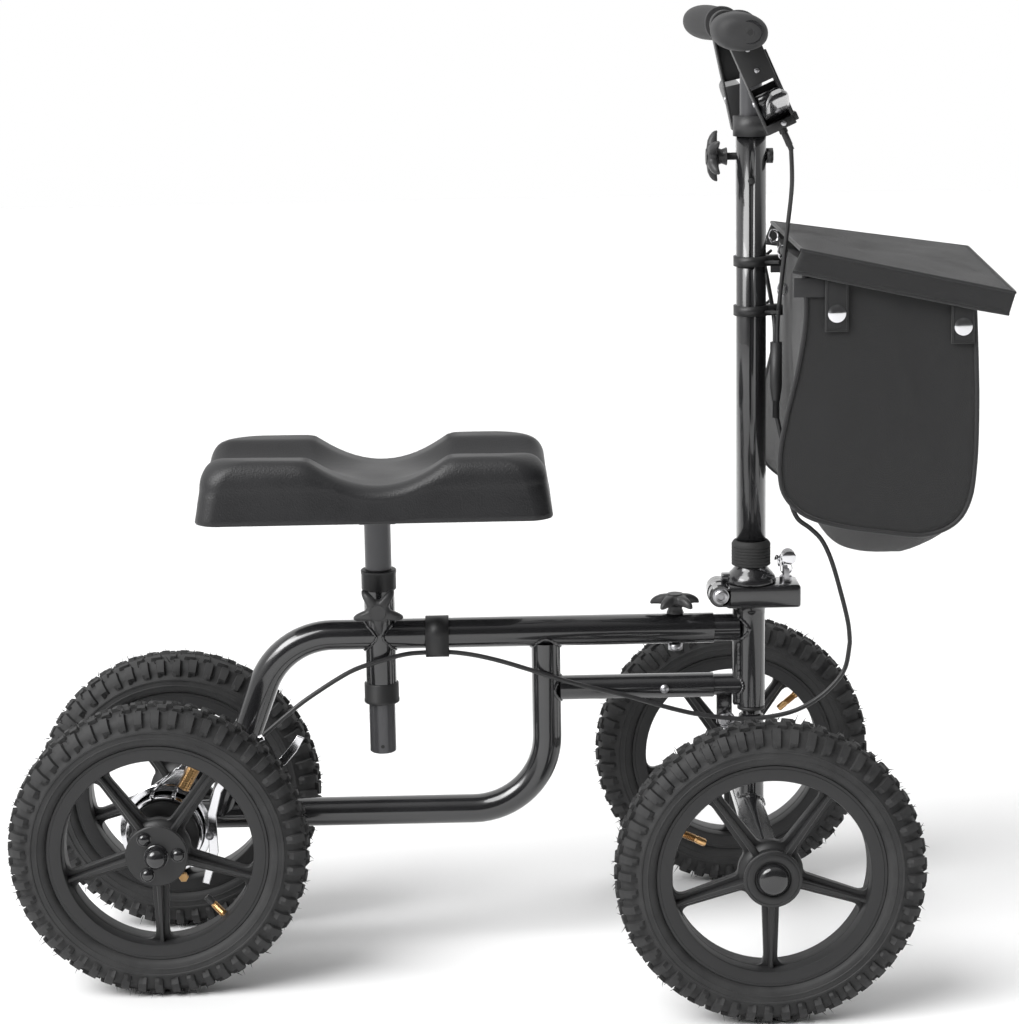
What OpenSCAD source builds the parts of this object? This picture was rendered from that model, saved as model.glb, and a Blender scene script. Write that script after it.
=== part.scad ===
// Four-wheeled knee scooter: +X is forward, +Y is left, +Z is up, in millimetres.
// The origin lies on the floor, half way along and half way across the whole scooter.

/* [Sub-part] */
// Sub-part to draw, or "all" for the whole scooter

/* [Overall] */
// Distance between the rear and front axles
wheelbase = 607; // [500:1:740]
// Distance between the centre planes of the two front wheels
front_track = 424; // [340:1:520]
// Distance between the centre planes of the two rear wheels
rear_track = 204; // [180:1:300]
// Height of the handlebar's centre line
bar_h = 958; // [780:1:1160]
// Height of the underside of the knee pad
pad_h = 480; // [460:1:580]

/* [Wheels] */
// Outer diameter of a tyre
wheel_d = 305; // [250:1:370]
// Width of a tyre
tyre_w = 52; // [44:1:60]
// Height of the tyre's section above the rim flange
tyre_section = 40; // [30:1:50]
// Width of the flat ring of the rim
rim_flange_w = 16; // [10:1:20]
// Diameter of the hub barrel
hub_d = 46; // [40:1:54]
// Diameter of the axle rods
axle_d = 12; // [10:0.5:14]
// Width of a spoke
spoke_w = 17; // [12:1:22]
// Number of spokes
spoke_count = 5; // [4:1:8]

/* [Frame] */
// Height of the upper tube's centre line
tube_h = 345; // [320:1:400]
// Outer diameter of the upper tube
tube_d = 31.4; // [28:0.1:36]
// Outer diameter of the U-shaped down tube
down_d = 30; // [25:0.1:32]
// Outer diameter of the lower front tube
lower_d = 25.4; // [22:0.1:28]
// Wall of the frame tubes
tube_wall = 1.5; // [1.2:0.1:2.5]
// Centre line radius of the frame bends
bend_r = 78; // [60:1:90]
// Angle that the upper tube turns through at the rear
rear_bend = 70; // [60:1:80]
// Drop of the lower front tube below the upper tube
lower_drop = 61; // [50:1:80]
// Distance of the down tube behind the steering axis
down_back = 213; // [190:1:240]
// Distance of the steering axis ahead of the front axle
steer_lead = 2; // [0:1:10]
// Outer diameter of the head tube
head_d = 28.6; // [26:0.1:34]

/* [Seat] */
// Distance of the seat post ahead of the rear axle
seat_ahead = 225; // [200:1:240]
// Diameter of the seat post
post_d = 27.2; // [24:0.1:30]
// Length of the seat post
post_l = 252; // [230:1:280]
// Outer diameter of the seat sleeve
sleeve_d = 31.8; // [31:0.1:38]
// Length of the knee pad
pad_l = 358; // [320:1:400]
// Width of the knee pad
pad_w = 186; // [160:1:210]
// Height of the knee pad
pad_t = 62; // [50:1:80]

/* [Steering column] */
// Diameter of the steerer
steerer_d = 20; // [18:0.1:22]
// Outer diameter of the stem tube
stem_d = 30.5; // [28:0.1:34]
// Diameter of the inner stem and the handlebar
bar_d = 22.2; // [20:0.1:25.4]
// Height of the handlebar above the top of the stem tube
bar_rise = 92; // [90:1:130]
// Height of the hinge pin above the upper tube's centre line
pivot_rise = 38; // [34:1:44]
// Distance of the hinge pin behind the steering axis
pivot_back = 33; // [30:1:38]
// Half of the handlebar's width
bar_half = 205; // [190:1:240]
// Distance that the grips lie behind the stem
bar_sweep = 20; // [0:1:40]

/* [Bag] */
// Length of the bag from back to front
bag_l = 182; // [150:1:220]
// Width of the bag
bag_w = 210; // [180:1:240]
// Height of the bag
bag_t = 292; // [240:1:320]
// Drop of the bag's lid hinge below the top of the stem tube
bag_drop = 118; // [100:1:150]

/* [Fits] */
// Radial clearance of a shaft in its bore
fit = 0.05; // [0.02:0.01:0.1]
// Gap between parts that are fixed to each other
seat_gap = 0.05; // [0.02:0.01:0.2]
// Running gap between parts that move past each other
run_gap = 0.5; // [0.3:0.1:1]

/* [Hidden] */
$fn = 64;

// reference planes and axes
bag_gap = 31.5;
lid_over = 30;
bag_reach = bag_gap + bag_l + lid_over;
half_l = (wheel_d / 2 + wheelbase + steer_lead + bag_reach) / 2;
rear_x = wheel_d / 2 - half_l;
front_x = rear_x + wheelbase;
steer_x = front_x + steer_lead;
seat_x = rear_x + seat_ahead;
down_x = steer_x - down_back;
axle_z = wheel_d / 2;
u_z = axle_z + 2.5;
lower_z = tube_h - lower_drop;
pivot_x = steer_x - pivot_back;
pivot_z = tube_h + pivot_rise;
stem_top = bar_h - bar_rise;

// wheel sections
rim_r = wheel_d / 2 - tyre_section;
rim_in = rim_r - rim_flange_w;
rim_half = 20;
flange_t = 3;
barrel_t = 4;
bead_r = rim_in + barrel_t + seat_gap;
hub_half = 24;
hub_in = hub_half + 4;
bearing_d = 28;
bearing_w = 8;
web_t = 9;
cap_t = 3;
rear_plate_d = 63;
front_plate_d = 57;
nut_d = 21;
nut_t = 8;
dome_r = 15.5;
valve_d = 8;
valve_l = 30;
right_front_valve = 155;
right_rear_valve = -49;
left_valve = 40;

// upper tube
stub_gap = 39;
tube_end = steer_x - stub_gap;
rear_bend_x = rear_x + 176;
rear_leg = 150;
knob_back = 78.5;
stub_l = 60;
screw_back = 91;
boss_h = 33.5;
knob_d = 54;
bolt_d = 8;

// head and casting
head_top = pivot_z - 16.3;
head_bottom = head_top - 105.7;
bush_t = 2;
cast_bottom = head_top + bush_t + 0.3;
cast_t = 24;
cast_top = cast_bottom + cast_t;
cast_w = 44;
cast_front = 49.5;
ear_r = 13;
ear_w = 14;
pin_d = 10;
fork_d = 26;
cross_d = 30;
neck_h = 7;

// stem
stem_base = cast_top + 0.3;
dome_h = 18;
stem_wall = 2;
collar_l = 20;
collar_d = 36;
stem_knob_drop = 36;
slot_up = 82;
slot_down = 42;
guide_l = 30;
inner_l = 250;

// handlebar and levers
cross_bar_d = bar_d + 0.4;
bar_flat = 12;
clamp_in = 60;
clamp_w = 20;
grip_in = 90;
right_tilt = 24;
left_tilt = 12;
box_u0 = 62;
box_u1 = 106;
lever_pivot_u = 74;
lever_w = 24;

// seat
collar_z0 = tube_h + 48;
sleeve_bottom = tube_h - 52;
base_t = 10;

// brake
drum_r = 36;
drum_y = rear_track / 2 - 28 - seat_gap;
plate_y = 38;
plate_r = 48;
band_t = 2.5;
arm_x = 45.6;
arm_z = -6;

// bag
bag_x0 = steer_x + bag_gap;
bag_hinge_z = stem_top - bag_drop;
lid_t = 8;
lid_fall = 42;

// brake cable, points chosen along its run
cable_d = 5;
stem_run = [[284.5, -20, 567.9], [284.5, -20, 535], [284.5, -19, 507], [288.5, -17, 482],
    [301, -14, 460], [319, -12, 450], [331, -11, 437], [341, -11, 415], [351, -12, 380],
    [358, -13, 350], [360, -13, 330]];
head_run = [[360, -13, 329], [355, -15, 303], [341, -17, 284], [322, -19, 269],
    [300, -21, 259], [275, -22, 254], [250, -22, 252]];
rear_run = [[249, -22, 252], [222, -22, 255], [193, -21, 260], [160, -20, 269],
    [131, -19, 278], [75, -19, 293], [30, -18, 308], [-2, -16, 318], [-30, -14, 324.5],
    [-55, -13, 327.6], [-80, -13, 327.6], [-100, -17, 327], [-125, -23, 322],
    [-156, -30, 313], [-197, -40, 290], [-222, -45, 272], [-246, -47, 252], [-275, -47, 241],
    [-308, -47, 228]];
bar_run = [[284, -78, 836], [285, -77, 800], [283, -66, 755], [281, -45, 705], [280, -27, 645.1]];

black_paint = [0.03, 0.03, 0.035];
black_plastic = [0.06, 0.06, 0.065];
black_rubber = [0.05, 0.05, 0.05];
grey_paint = [0.16, 0.16, 0.17];
fabric_black = [0.04, 0.04, 0.045];
chrome_grey = [0.75, 0.75, 0.77];
steel_grey = [0.6, 0.6, 0.62];
copper = [0.72, 0.48, 0.26];

// ---------- shared shapes ----------

// Cylinder along +X from x0 to x1
module rod_x(x0, x1, d) {
    translate([x0, 0, 0]) rotate([0, 90, 0]) cylinder(h = x1 - x0, d = d);
}

// Cylinder along +Y from y0 to y1
module rod_y(y0, y1, d) {
    translate([0, y0, 0]) rotate([-90, 0, 0]) cylinder(h = y1 - y0, d = d);
}

// Cylinder along +Z from z0 to z1
module rod_z(z0, z1, d) {
    translate([0, 0, z0]) cylinder(h = z1 - z0, d = d);
}

// Hollow tube along +Z
module tube(l, d, wall) {
    difference() {
        cylinder(h = l, d = d);
        translate([0, 0, -1]) cylinder(h = l + 2, d = d - 2 * wall);
    }
}

// Bent tube in the XZ plane about the origin, from angle a0 through turn degrees
module elbow(r, a0, turn, d, wall) {
    rotate([90, 0, 0]) rotate([0, 0, a0])
        rotate_extrude(angle = turn) translate([r, 0]) difference() {
            circle(d = d);
            circle(d = d - 2 * wall);
        }
}

// Ring along +Z
module ring(od, id, h) {
    difference() {
        cylinder(h = h, d = od);
        translate([0, 0, -1]) cylinder(h = h + 2, d = id);
    }
}

// Right side as drawn, or its mirror image on the left
module on_side(left) {
    if (left) mirror([0, 1, 0]) children();
    else children();
}

// Wheel coordinates: local +Z points outward, local +Y points up
module on_wheel(left, x, track) {
    on_side(left) translate([x, -track / 2, axle_z]) rotate([90, 0, 0]) children();
}

// Tube swept along points, with eight sides
function unit(v) = v / norm(v);
function tangent(p, i) = unit(p[min(i + 1, len(p) - 1)] - p[max(i - 1, 0)]);
function between(p, i, t) =
    let (a = p[max(i - 1, 0)], b = p[i], c = p[i + 1], e = p[min(i + 2, len(p) - 1)])
    0.5 * (2 * b + (c - a) * t + (2 * a - 5 * b + 4 * c - e) * t * t
        + (3 * b - a - 3 * c + e) * t * t * t);
function smooth(p, n) = [for (i = [0 : len(p) - 2]) for (k = [0 : n - 1]) between(p, i, k / n),
    p[len(p) - 1]];
module swept(points, d, steps) {
    path = smooth(points, steps);
    sides = 8;
    count = len(path);
    rings = [for (i = [0 : count - 1])
        let (t = tangent(path, i), a = unit(cross(t, [0, 1, 0])), b = cross(t, a))
        for (k = [0 : sides - 1])
            path[i] + d / 2 * (a * cos(360 * k / sides) + b * sin(360 * k / sides))];
    walls = [for (i = [0 : count - 2]) for (k = [0 : sides - 1])
        [i * sides + k, i * sides + (k + 1) % sides,
            (i + 1) * sides + (k + 1) % sides, (i + 1) * sides + k]];
    first = [for (k = [sides - 1 : -1 : 0]) k];
    last = [for (k = [0 : sides - 1]) (count - 1) * sides + k];
    polyhedron(points = rings, faces = concat([first], walls, [last]), convexity = 8);
}

// Five-lobed hand knob: hub and head along +Z, with its bolt below z = 0
module star_knob(bolt_l) {
    rod_z(-bolt_l, 2, bolt_d);
    rod_z(0, 9, 18);
    rod_z(8, 20, knob_d * 0.66);
    translate([0, 0, 20]) cylinder(h = 3, r1 = knob_d * 0.27, r2 = knob_d * 0.22);
    for (k = [0 : 4]) rotate([0, 0, 72 * k + 90]) translate([knob_d / 2 - 8, 0, 8.5])
        cylinder(h = 10, d = 16);
}

// ---------- rear frame ----------

// Solid shape of the upper tube: front run, rear bend and the leg down to the down tube
module upper_run(d, extra) {
    leg_a = 90 + rear_bend;
    translate([0, 0, tube_h]) rod_x(rear_bend_x, tube_end + extra, d);
    translate([rear_bend_x, 0, tube_h - bend_r]) {
        rotate([90, 0, 0]) rotate([0, 0, 90])
            rotate_extrude(angle = rear_bend) translate([bend_r, 0]) circle(d = d);
        translate([bend_r * cos(leg_a), 0, bend_r * sin(leg_a)])
            rotate([0, 270 - rear_bend, 0]) rod_z(-1, rear_leg + extra, d - 2 * seat_gap);
    }
}

module upper_tube() {
    color(black_paint) difference() {
        upper_run(tube_d, 0);
        upper_run(tube_d - 2 * tube_wall, 1);
        translate([seat_x, 0, 0]) rod_z(tube_h - 40, tube_h + 40, sleeve_d + 2 * seat_gap);
        translate([0, 0, u_z]) rod_x(rear_x - 20, rear_x + 200, down_d + 2 * seat_gap);
        translate([rear_x - 50, -30, u_z - 60]) cube([200, 60, 66]);
        translate([steer_x - knob_back, 0, 0]) rod_z(tube_h - 30, tube_h + 30, bolt_d + 0.4);
    }
}

module down_tube() {
    color(black_paint) difference() {
        union() {
            translate([down_x, 0, u_z + bend_r]) tube(tube_h - u_z - bend_r, down_d, tube_wall);
            translate([down_x - bend_r, 0, u_z + bend_r]) elbow(bend_r, -90, 90, down_d, tube_wall);
            translate([rear_x, 0, u_z]) rotate([0, 90, 0])
                tube(down_x - bend_r - rear_x, down_d, tube_wall);
        }
        translate([0, 0, tube_h]) rod_x(down_x - 40, down_x + 40, tube_d + 2 * seat_gap);
        translate([rear_x, 0, axle_z]) rod_y(-40, 40, cross_d + 4 + 2 * seat_gap);
    }
}

module lower_tube() {
    color(black_paint) difference() {
        translate([down_x, 0, lower_z]) rotate([0, 90, 0])
            tube(tube_end - down_x, lower_d, tube_wall);
        translate([down_x, 0, 0]) rod_z(lower_z - 40, lower_z + 40, down_d + 2 * seat_gap);
        translate([steer_x - screw_back, 0, lower_z]) rod_y(-30, 0, 5.2);
    }
}

module rear_axle_tube() {
    half_in = rear_track / 2 - 30;
    color(black_paint) translate([rear_x, 0, axle_z]) difference() {
        rod_y(-plate_y + 3, half_in, cross_d + 4);
        rod_y(-plate_y + 9, half_in - 6, cross_d);
        rod_y(-plate_y, half_in + 1, axle_d + 2 * fit);
    }
}

module seat_sleeve() {
    boss_z = tube_h + boss_h;
    color(black_paint) translate([seat_x, 0, 0]) difference() {
        union() {
            rod_z(sleeve_bottom - 8, collar_z0 + 9, sleeve_d);
            translate([0, 0, boss_z]) rod_y(-25, 0, 16);
        }
        rod_z(sleeve_bottom - 9, collar_z0 + 10, post_d + 2 * fit);
        translate([0, 0, boss_z]) rod_y(-26, 0, bolt_d + 2 * fit);
    }
}

module seat_collar(z0, up) {
    translate([seat_x, 0, z0]) difference() {
        rod_z(0, 21, sleeve_d + 4);
        rod_z(up ? -1 : 12, up ? 9 : 22, sleeve_d + 2 * seat_gap);
        rod_z(-1, 22, post_d + 2 * fit + 0.2);
    }
}

module seat_collars() {
    color(black_plastic) {
        seat_collar(collar_z0, true);
        seat_collar(sleeve_bottom - 20, false);
    }
}

// ---------- front frame ----------

module head_tube() {
    upper_in = steer_x - knob_back - 20;
    lower_in = steer_x - screw_back - 18;
    upper_d = tube_d - 2 * tube_wall - 2 * seat_gap;
    stub_d = lower_d - 2 * tube_wall - 2 * seat_gap;
    color(black_paint) difference() {
        union() {
            translate([steer_x, 0, 0]) rod_z(head_bottom, head_top, head_d);
            difference() {
                union() {
                    translate([0, 0, tube_h]) rod_x(upper_in, steer_x, upper_d);
                    translate([0, 0, lower_z]) rod_x(lower_in, steer_x, stub_d);
                }
                translate([0, 0, tube_h]) rod_x(upper_in - 1, steer_x, upper_d - 4);
                translate([0, 0, lower_z]) rod_x(lower_in - 1, steer_x, stub_d - 4);
            }
            translate([steer_x - head_d / 2 - 5, -7, head_bottom + 2])
                cube([8, 14, head_top - head_bottom - 4]);
            translate([steer_x - 36, -2, lower_z - 42]) cube([14, 4, 33]);
        }
        translate([steer_x, 0, 0]) rod_z(head_bottom - 1, head_top + 1, steerer_d + 5);
        translate([steer_x - knob_back, 0, 0]) rod_z(tube_h - 30, tube_h + 30, bolt_d + 0.4);
        translate([steer_x - screw_back, 0, lower_z]) rod_y(-30, 0, 5.2);
        translate([steer_x - 29, 0, lower_z - 36]) rod_y(-4, 4, 5);
    }
}

module head_bush(z0, up) {
    translate([steer_x, 0, z0]) difference() {
        union() {
            rod_z(up ? 0 : -3, up ? bush_t : 0, head_d);
            rod_z(up ? -14 : 0, up ? 0 : 14, steerer_d + 5 - 2 * seat_gap);
        }
        rod_z(-20, 20, steerer_d + 2 * fit);
    }
}

module head_bushes() {
    color(black_plastic) {
        head_bush(head_top, true);
        head_bush(head_bottom, false);
    }
}

// Nut below the upper tube, screw in the lower tube, and the centring spring's hook
module frame_fasteners() {
    color(steel_grey) {
        translate([steer_x - knob_back, 0, tube_h - tube_d / 2 - 7]) difference() {
            cylinder(h = 6.9, d = 15, $fn = 6);
            translate([0, 0, -1]) cylinder(h = 9, d = bolt_d + 2 * fit);
        }
        translate([steer_x - screw_back, 0, lower_z]) {
            rod_y(-lower_d / 2 - 3, -lower_d / 2 - 0.1, 9);
            rod_y(-lower_d / 2 - 0.1, -2, 5);
        }
        translate([steer_x - 29, 0, lower_z - 36]) {
            rod_y(-4.5, 4.5, 4.9);
            translate([0, -4.5, 0]) rod_y(-5, 0, 12);
        }
    }
}

module cable_strap() {
    cable_y = -13;
    cable_z = 327.6 - 345;
    color(black_rubber) translate([seat_x + 47, 0, tube_h]) rotate([90, 0, 90])
        linear_extrude(24) difference() {
            hull() {
                circle(d = tube_d + 5);
                translate([cable_y, cable_z]) circle(d = cable_d + 4.6);
            }
            hull() {
                circle(d = tube_d + 0.6);
                translate([cable_y, cable_z]) circle(d = cable_d + 0.6);
            }
        }
}

// ---------- rear brake ----------

module brake_backplate() {
    color(chrome_grey) translate([rear_x, 0, axle_z]) {
        difference() {
            translate([0, -plate_y, 0]) rotate([-90, 0, 0]) rotate_extrude() polygon([
                [axle_d / 2 + fit, 0], [40, 0], [41, -3], [plate_r, -3], [plate_r, 0],
                [44, 0], [43, 2.5], [axle_d / 2 + fit, 2.5]]);
            translate([arm_x, 0, arm_z]) rod_y(-60, 0, 5 + 2 * fit);
        }
        translate([0, 2.4 - plate_y, 0]) rotate([90, 0, 0]) linear_extrude(2.3) polygon([
            [-16, 38], [18, 38], [30, 48], [46, 76], [36, 82], [14, 64], [-12, 46]]);
        translate([-8.8, -plate_y - 12, 43]) rotate([0, -40, 0]) cube([30, 14, 2.5]);
        translate([12, -plate_y - 12, 61.9]) cube([10.2, 14, 2.5]);
    }
}

// Barrel that holds the end of the brake cable
module cable_anchor() {
    color(copper) translate([rear_x + 20, -plate_y - 9, axle_z + 45]) rotate([0, 30, 0]) {
        rod_z(0, 26, 13);
        rod_z(26, 30, 9);
    }
}

module brake_band() {
    color(chrome_grey) translate([rear_x, 0, axle_z]) {
        translate([0, -plate_y - 4, 0]) rotate([90, 0, 0]) rotate([0, 0, 95])
            rotate_extrude(angle = 310) translate([drum_r + 1, 0]) square([band_t, 18]);
        for (x = [-13, 9]) translate([x, -plate_y - 22, 0]) {
            translate([0, 0, 35.5]) cube([4, 18, 6.5]);
            translate([0, 0, 35.5]) cube([4, 22 - seat_gap, 2]);
        }
    }
}

module brake_drum() {
    color(steel_grey) translate([rear_x, 0, axle_z]) difference() {
        union() {
            rod_y(-drum_y, -drum_y + 8, hub_d);
            rod_y(-drum_y + 6, -plate_y - 4, 2 * drum_r);
        }
        rod_y(-drum_y + 9, -plate_y, 2 * drum_r - 8);
        rod_y(-drum_y - 1, -plate_y, axle_d + 3);
    }
}

// Brake lever: a flat strip on its pivot pin, with a cranked free end
module brake_arm() {
    color(chrome_grey) translate([rear_x, -plate_y - 7, axle_z]) {
        difference() {
            rotate([90, 0, 0]) linear_extrude(3) polygon([
                [36, -57], [43, -59], [54, -24], [53, 16], [59, 40], [66, 50], [92, 58], [126, 68],
                [138, 82], [146, 96], [139, 99], [130, 86], [120, 75], [88, 66], [60, 58],
                [52, 44], [44, 18], [44, -22]]);
            translate([arm_x, 0, arm_z]) rod_y(-5, 5, 4.9);
        }
        translate([arm_x, 0, arm_z]) rod_y(-4.5, 7, 5);
        translate([arm_x, 0, arm_z]) rod_y(-5.5, -3.1, 9);
    }
}

// ---------- cables ----------

module brake_cable_rear() {
    color(black_rubber) swept(rear_run, cable_d, 4);
}

module brake_cable_head() {
    color(black_rubber) swept(head_run, cable_d, 4);
}

module brake_cable_stem() {
    color(black_rubber) swept(stem_run, cable_d, 4);
}

module lever_cables() {
    color(black_rubber) for (side = [1, -1])
        swept([for (p = bar_run) [p[0] + (side < 0 ? -8 : 0) * (p[2] - 640) / 200,
            side * p[1] - 20 * (836 - p[2]) / 190 * (side < 0 ? 1 : 0.2), p[2]]], 4.4, 4);
}

module cable_splitter() {
    color(black_plastic) translate([282, -24, 0]) {
        rod_z(600, 645, 12);
        translate([0, 0, 585]) cylinder(h = 15, d1 = 8, d2 = 12);
    }
    color(steel_grey) translate([282, -24, 0]) rod_z(568, 585, 7);
}

// ---------- steering column ----------

module front_fork() {
    half_in = front_track / 2 - 29;
    color(black_paint) difference() {
        union() {
            translate([steer_x, 0, 0]) {
                rod_z(axle_z, cast_top - 4, steerer_d);
                rod_z(axle_z, head_bottom - neck_h - 4, fork_d);
            }
            translate([front_x, 0, axle_z]) rod_y(-half_in, half_in, cross_d);
        }
        translate([front_x, 0, axle_z]) {
            rod_y(-half_in + 8, -fork_d / 2, cross_d - 5);
            rod_y(fork_d / 2, half_in - 8, cross_d - 5);
            rod_y(-half_in - 1, half_in + 1, axle_d + 2 * fit);
        }
        translate([steer_x, 0, 0]) rod_z(axle_z + 20, cast_top, steerer_d - 4);
    }
}

module lower_casting() {
    color(black_paint) difference() {
        union() {
            translate([pivot_x, -cast_w / 2, cast_bottom]) cube([pivot_back + cast_front, cast_w, cast_t]);
            translate([pivot_x, 0, pivot_z]) rod_y(-cast_w / 2, cast_w / 2, 2 * ear_r - 2);
        }
        translate([steer_x, 0, 0]) rod_z(cast_bottom - 1, cast_top - 4 + seat_gap, steerer_d + 2 * seat_gap);
        translate([pivot_x, 0, pivot_z]) rod_y(-cast_w, cast_w, pin_d + 2 * fit);
        translate([pivot_x, 0, pivot_z]) rod_y(-ear_w / 2 - 0.4, ear_w / 2 + 0.4, 2 * ear_r + 2);
        translate([pivot_x - 20, -ear_w / 2 - 0.4, cast_bottom - 1]) cube([20, ear_w + 0.8, 60]);
        translate([pivot_x - 20, -30, cast_bottom - 20]) cube([60, 60, 20]);
        translate([steer_x + cast_front - 8, -30, cast_bottom - 8]) rotate([0, -45, 0])
            translate([0, 0, -6]) cube([20, 60, 14]);
    }
    color(steel_grey) translate([steer_x + 36, 0, cast_top]) {
        rod_z(0.1, 6, 12);
        translate([0, 0, 14]) rod_y(-9, 9, 6);
        translate([-3, -9, 0.1]) cube([6, 3, 14]);
        translate([-3, 6, 0.1]) cube([6, 3, 14]);
    }
}

module fold_pin() {
    color(steel_grey) translate([pivot_x, 0, pivot_z]) {
        rod_y(-cast_w / 2 - 0.1, cast_w / 2 + 0.1, pin_d);
        difference() {
            rod_y(-cast_w / 2 - 6, -cast_w / 2 - 0.1, 15);
            rod_y(-cast_w / 2 - 7, -cast_w / 2 - 3, 8, $fn = 6);
        }
        rod_y(cast_w / 2 + 0.1, cast_w / 2 + 6, 15);
    }
}

// Quick-release lever over its cam pin
module latch_lever() {
    color(chrome_grey) translate([steer_x + 36, 0, cast_top + 14]) difference() {
        union() {
            rod_y(-5.4, 5.4, 13);
            translate([-3, -4, 0]) cube([6, 8, 22]);
            translate([-3, -26, 15]) cube([6, 30, 7]);
            translate([0, -26, 18.5]) rod_y(-6, 2, 12);
        }
        rod_y(-6, 6, 6 + 2 * fit);
    }
}

// ---------- stem ----------

module upper_casting() {
    color(black_paint) difference() {
        union() {
            translate([steer_x, 0, stem_base]) cylinder(h = dome_h, r1 = 26, r2 = 19);
            translate([pivot_x - 6, -ear_w / 2, stem_base]) cube([pivot_back, ear_w, 10]);
            translate([pivot_x, 0, pivot_z]) rod_y(-ear_w / 2, ear_w / 2, 2 * ear_r);
        }
        translate([pivot_x, 0, pivot_z]) rod_y(-20, 20, pin_d + 2 * fit);
        translate([steer_x, 0, 0]) rod_z(stem_base + 4, stem_base + 60, stem_d + 2 * seat_gap);
    }
}

module stem_tube() {
    bolt_z = stem_top - stem_knob_drop;
    color(black_paint) translate([steer_x, 0, 0]) difference() {
        rod_z(stem_base + 4 + seat_gap, stem_top - 3, stem_d);
        rod_z(stem_base, stem_top, stem_d - 2 * stem_wall);
        translate([0, 0, bolt_z]) rod_x(-20, 20, bolt_d + 2 * fit);
        translate([0, 0, bolt_z - 24]) rod_y(-20, 0, 5);
    }
}

module stem_sleeve() {
    color(black_rubber) translate([steer_x, 0, stem_base + dome_h + 0.2]) {
        ring(40, stem_d + 2 * seat_gap, 22);
        translate([0, 0, 22]) difference() {
            cylinder(h = 4, d1 = 40, d2 = 35);
            translate([0, 0, -1]) cylinder(h = 6, d = stem_d + 2 * seat_gap);
        }
    }
}

module stem_collar() {
    color(black_plastic) translate([steer_x, 0, stem_top]) difference() {
        rod_z(-collar_l + 4, 4, collar_d);
        rod_z(-collar_l, -3 + seat_gap, stem_d + 2 * seat_gap);
        rod_z(-collar_l, 5, bar_d + 2 * fit);
    }
    color(steel_grey) translate([steer_x, 0, stem_top - stem_knob_drop]) difference() {
        translate([stem_d / 2 + 0.3, 0, 0]) rotate([0, 90, 0]) cylinder(h = 6.5, d = 15, $fn = 6);
        rod_x(0, 40, bolt_d + 2 * fit);
    }
}

// Star knob with its bolt along +X through the stem
module stem_knob() {
    color(black_plastic) translate([steer_x - stem_d / 2 - 9, 0, stem_top - stem_knob_drop])
        rotate([0, -90, 0]) star_knob(stem_d + 17);
}

// Star knob on the upper tube, with its bolt down through the tube
module frame_knob() {
    color(black_plastic) translate([steer_x - knob_back, 0, tube_h + tube_d / 2 + 0.5])
        star_knob(tube_d + 6);
}

// Star knob on the right of the seat sleeve, its bolt stopping short of the post
module seat_knob() {
    color(black_plastic) translate([seat_x, -25.5, tube_h + boss_h]) rotate([90, 0, 0])
        star_knob(25.5 - post_d / 2 - 0.4);
}

// ---------- handlebar ----------

// One side of the handlebar: the slanted run and the straight end
module bar_side(left) {
    on_side(left) {
        hull() {
            rod_y(-bar_flat - 1, -bar_flat, cross_bar_d);
            translate([-bar_sweep, 0, 0]) rod_y(-clamp_in, -clamp_in + 4, cross_bar_d);
        }
        translate([-bar_sweep, 0, 0]) rod_y(-bar_half + 4, -clamp_in, cross_bar_d);
    }
}

module handlebar() {
    bolt_z = stem_top - stem_knob_drop;
    foot_z = bar_h - inner_l;
    color(grey_paint) translate([steer_x, 0, 0]) {
        difference() {
            rod_z(foot_z, bar_h, bar_d);
            rod_z(foot_z - 1, bar_h - 15, bar_d - 3.2);
            translate([-20, -bolt_d / 2 - 0.4, bolt_z - slot_up - bolt_d])
                cube([40, bolt_d + 0.8, slot_up + slot_down + 2 * bolt_d]);
        }
        translate([0, 0, bar_h]) {
            rod_y(-bar_flat, bar_flat, cross_bar_d);
            bar_side(false);
            bar_side(true);
        }
    }
    color(black_plastic) translate([steer_x, 0, foot_z]) difference() {
        rod_z(-4, guide_l - 4, stem_d - 2 * stem_wall - 2 * fit);
        rod_z(0.1, guide_l, bar_d + 2 * seat_gap);
    }
}

module grip(left) {
    grip_l = bar_half - grip_in;
    color(black_rubber) on_side(left) translate([steer_x - bar_sweep, -grip_in, bar_h])
        rotate([90, 0, 0]) difference() {
            union() {
                hull() {
                    translate([1, 0, 8]) cylinder(h = grip_l - 9, r = 16.5, $fn = 32);
                    translate([-20, 3, 34]) cylinder(h = grip_l - 42, r = 11, $fn = 32);
                    translate([-14, 3, 22]) cylinder(h = grip_l - 24, r = 14, $fn = 32);
                    translate([0, 1, 8]) cylinder(h = grip_l - 7, r = 13, $fn = 32);
                }
                cylinder(h = 10, r = 17.5);
            }
            translate([0, 0, -1]) cylinder(h = grip_l - 3, d = cross_bar_d + 2 * seat_gap);
            translate([0, 0, grip_l - 6]) cylinder(h = 12, d = 5);
        }
}

module grips() {
    grip(false);
    grip(true);
}

// Lever coordinates: local +X points down and forward from the bar, local +Z along the lever's width
module on_lever(left, tilt) {
    on_side(left) translate([steer_x - bar_sweep, 0, bar_h]) rotate([0, 90 - tilt, 0]) children();
}

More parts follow.
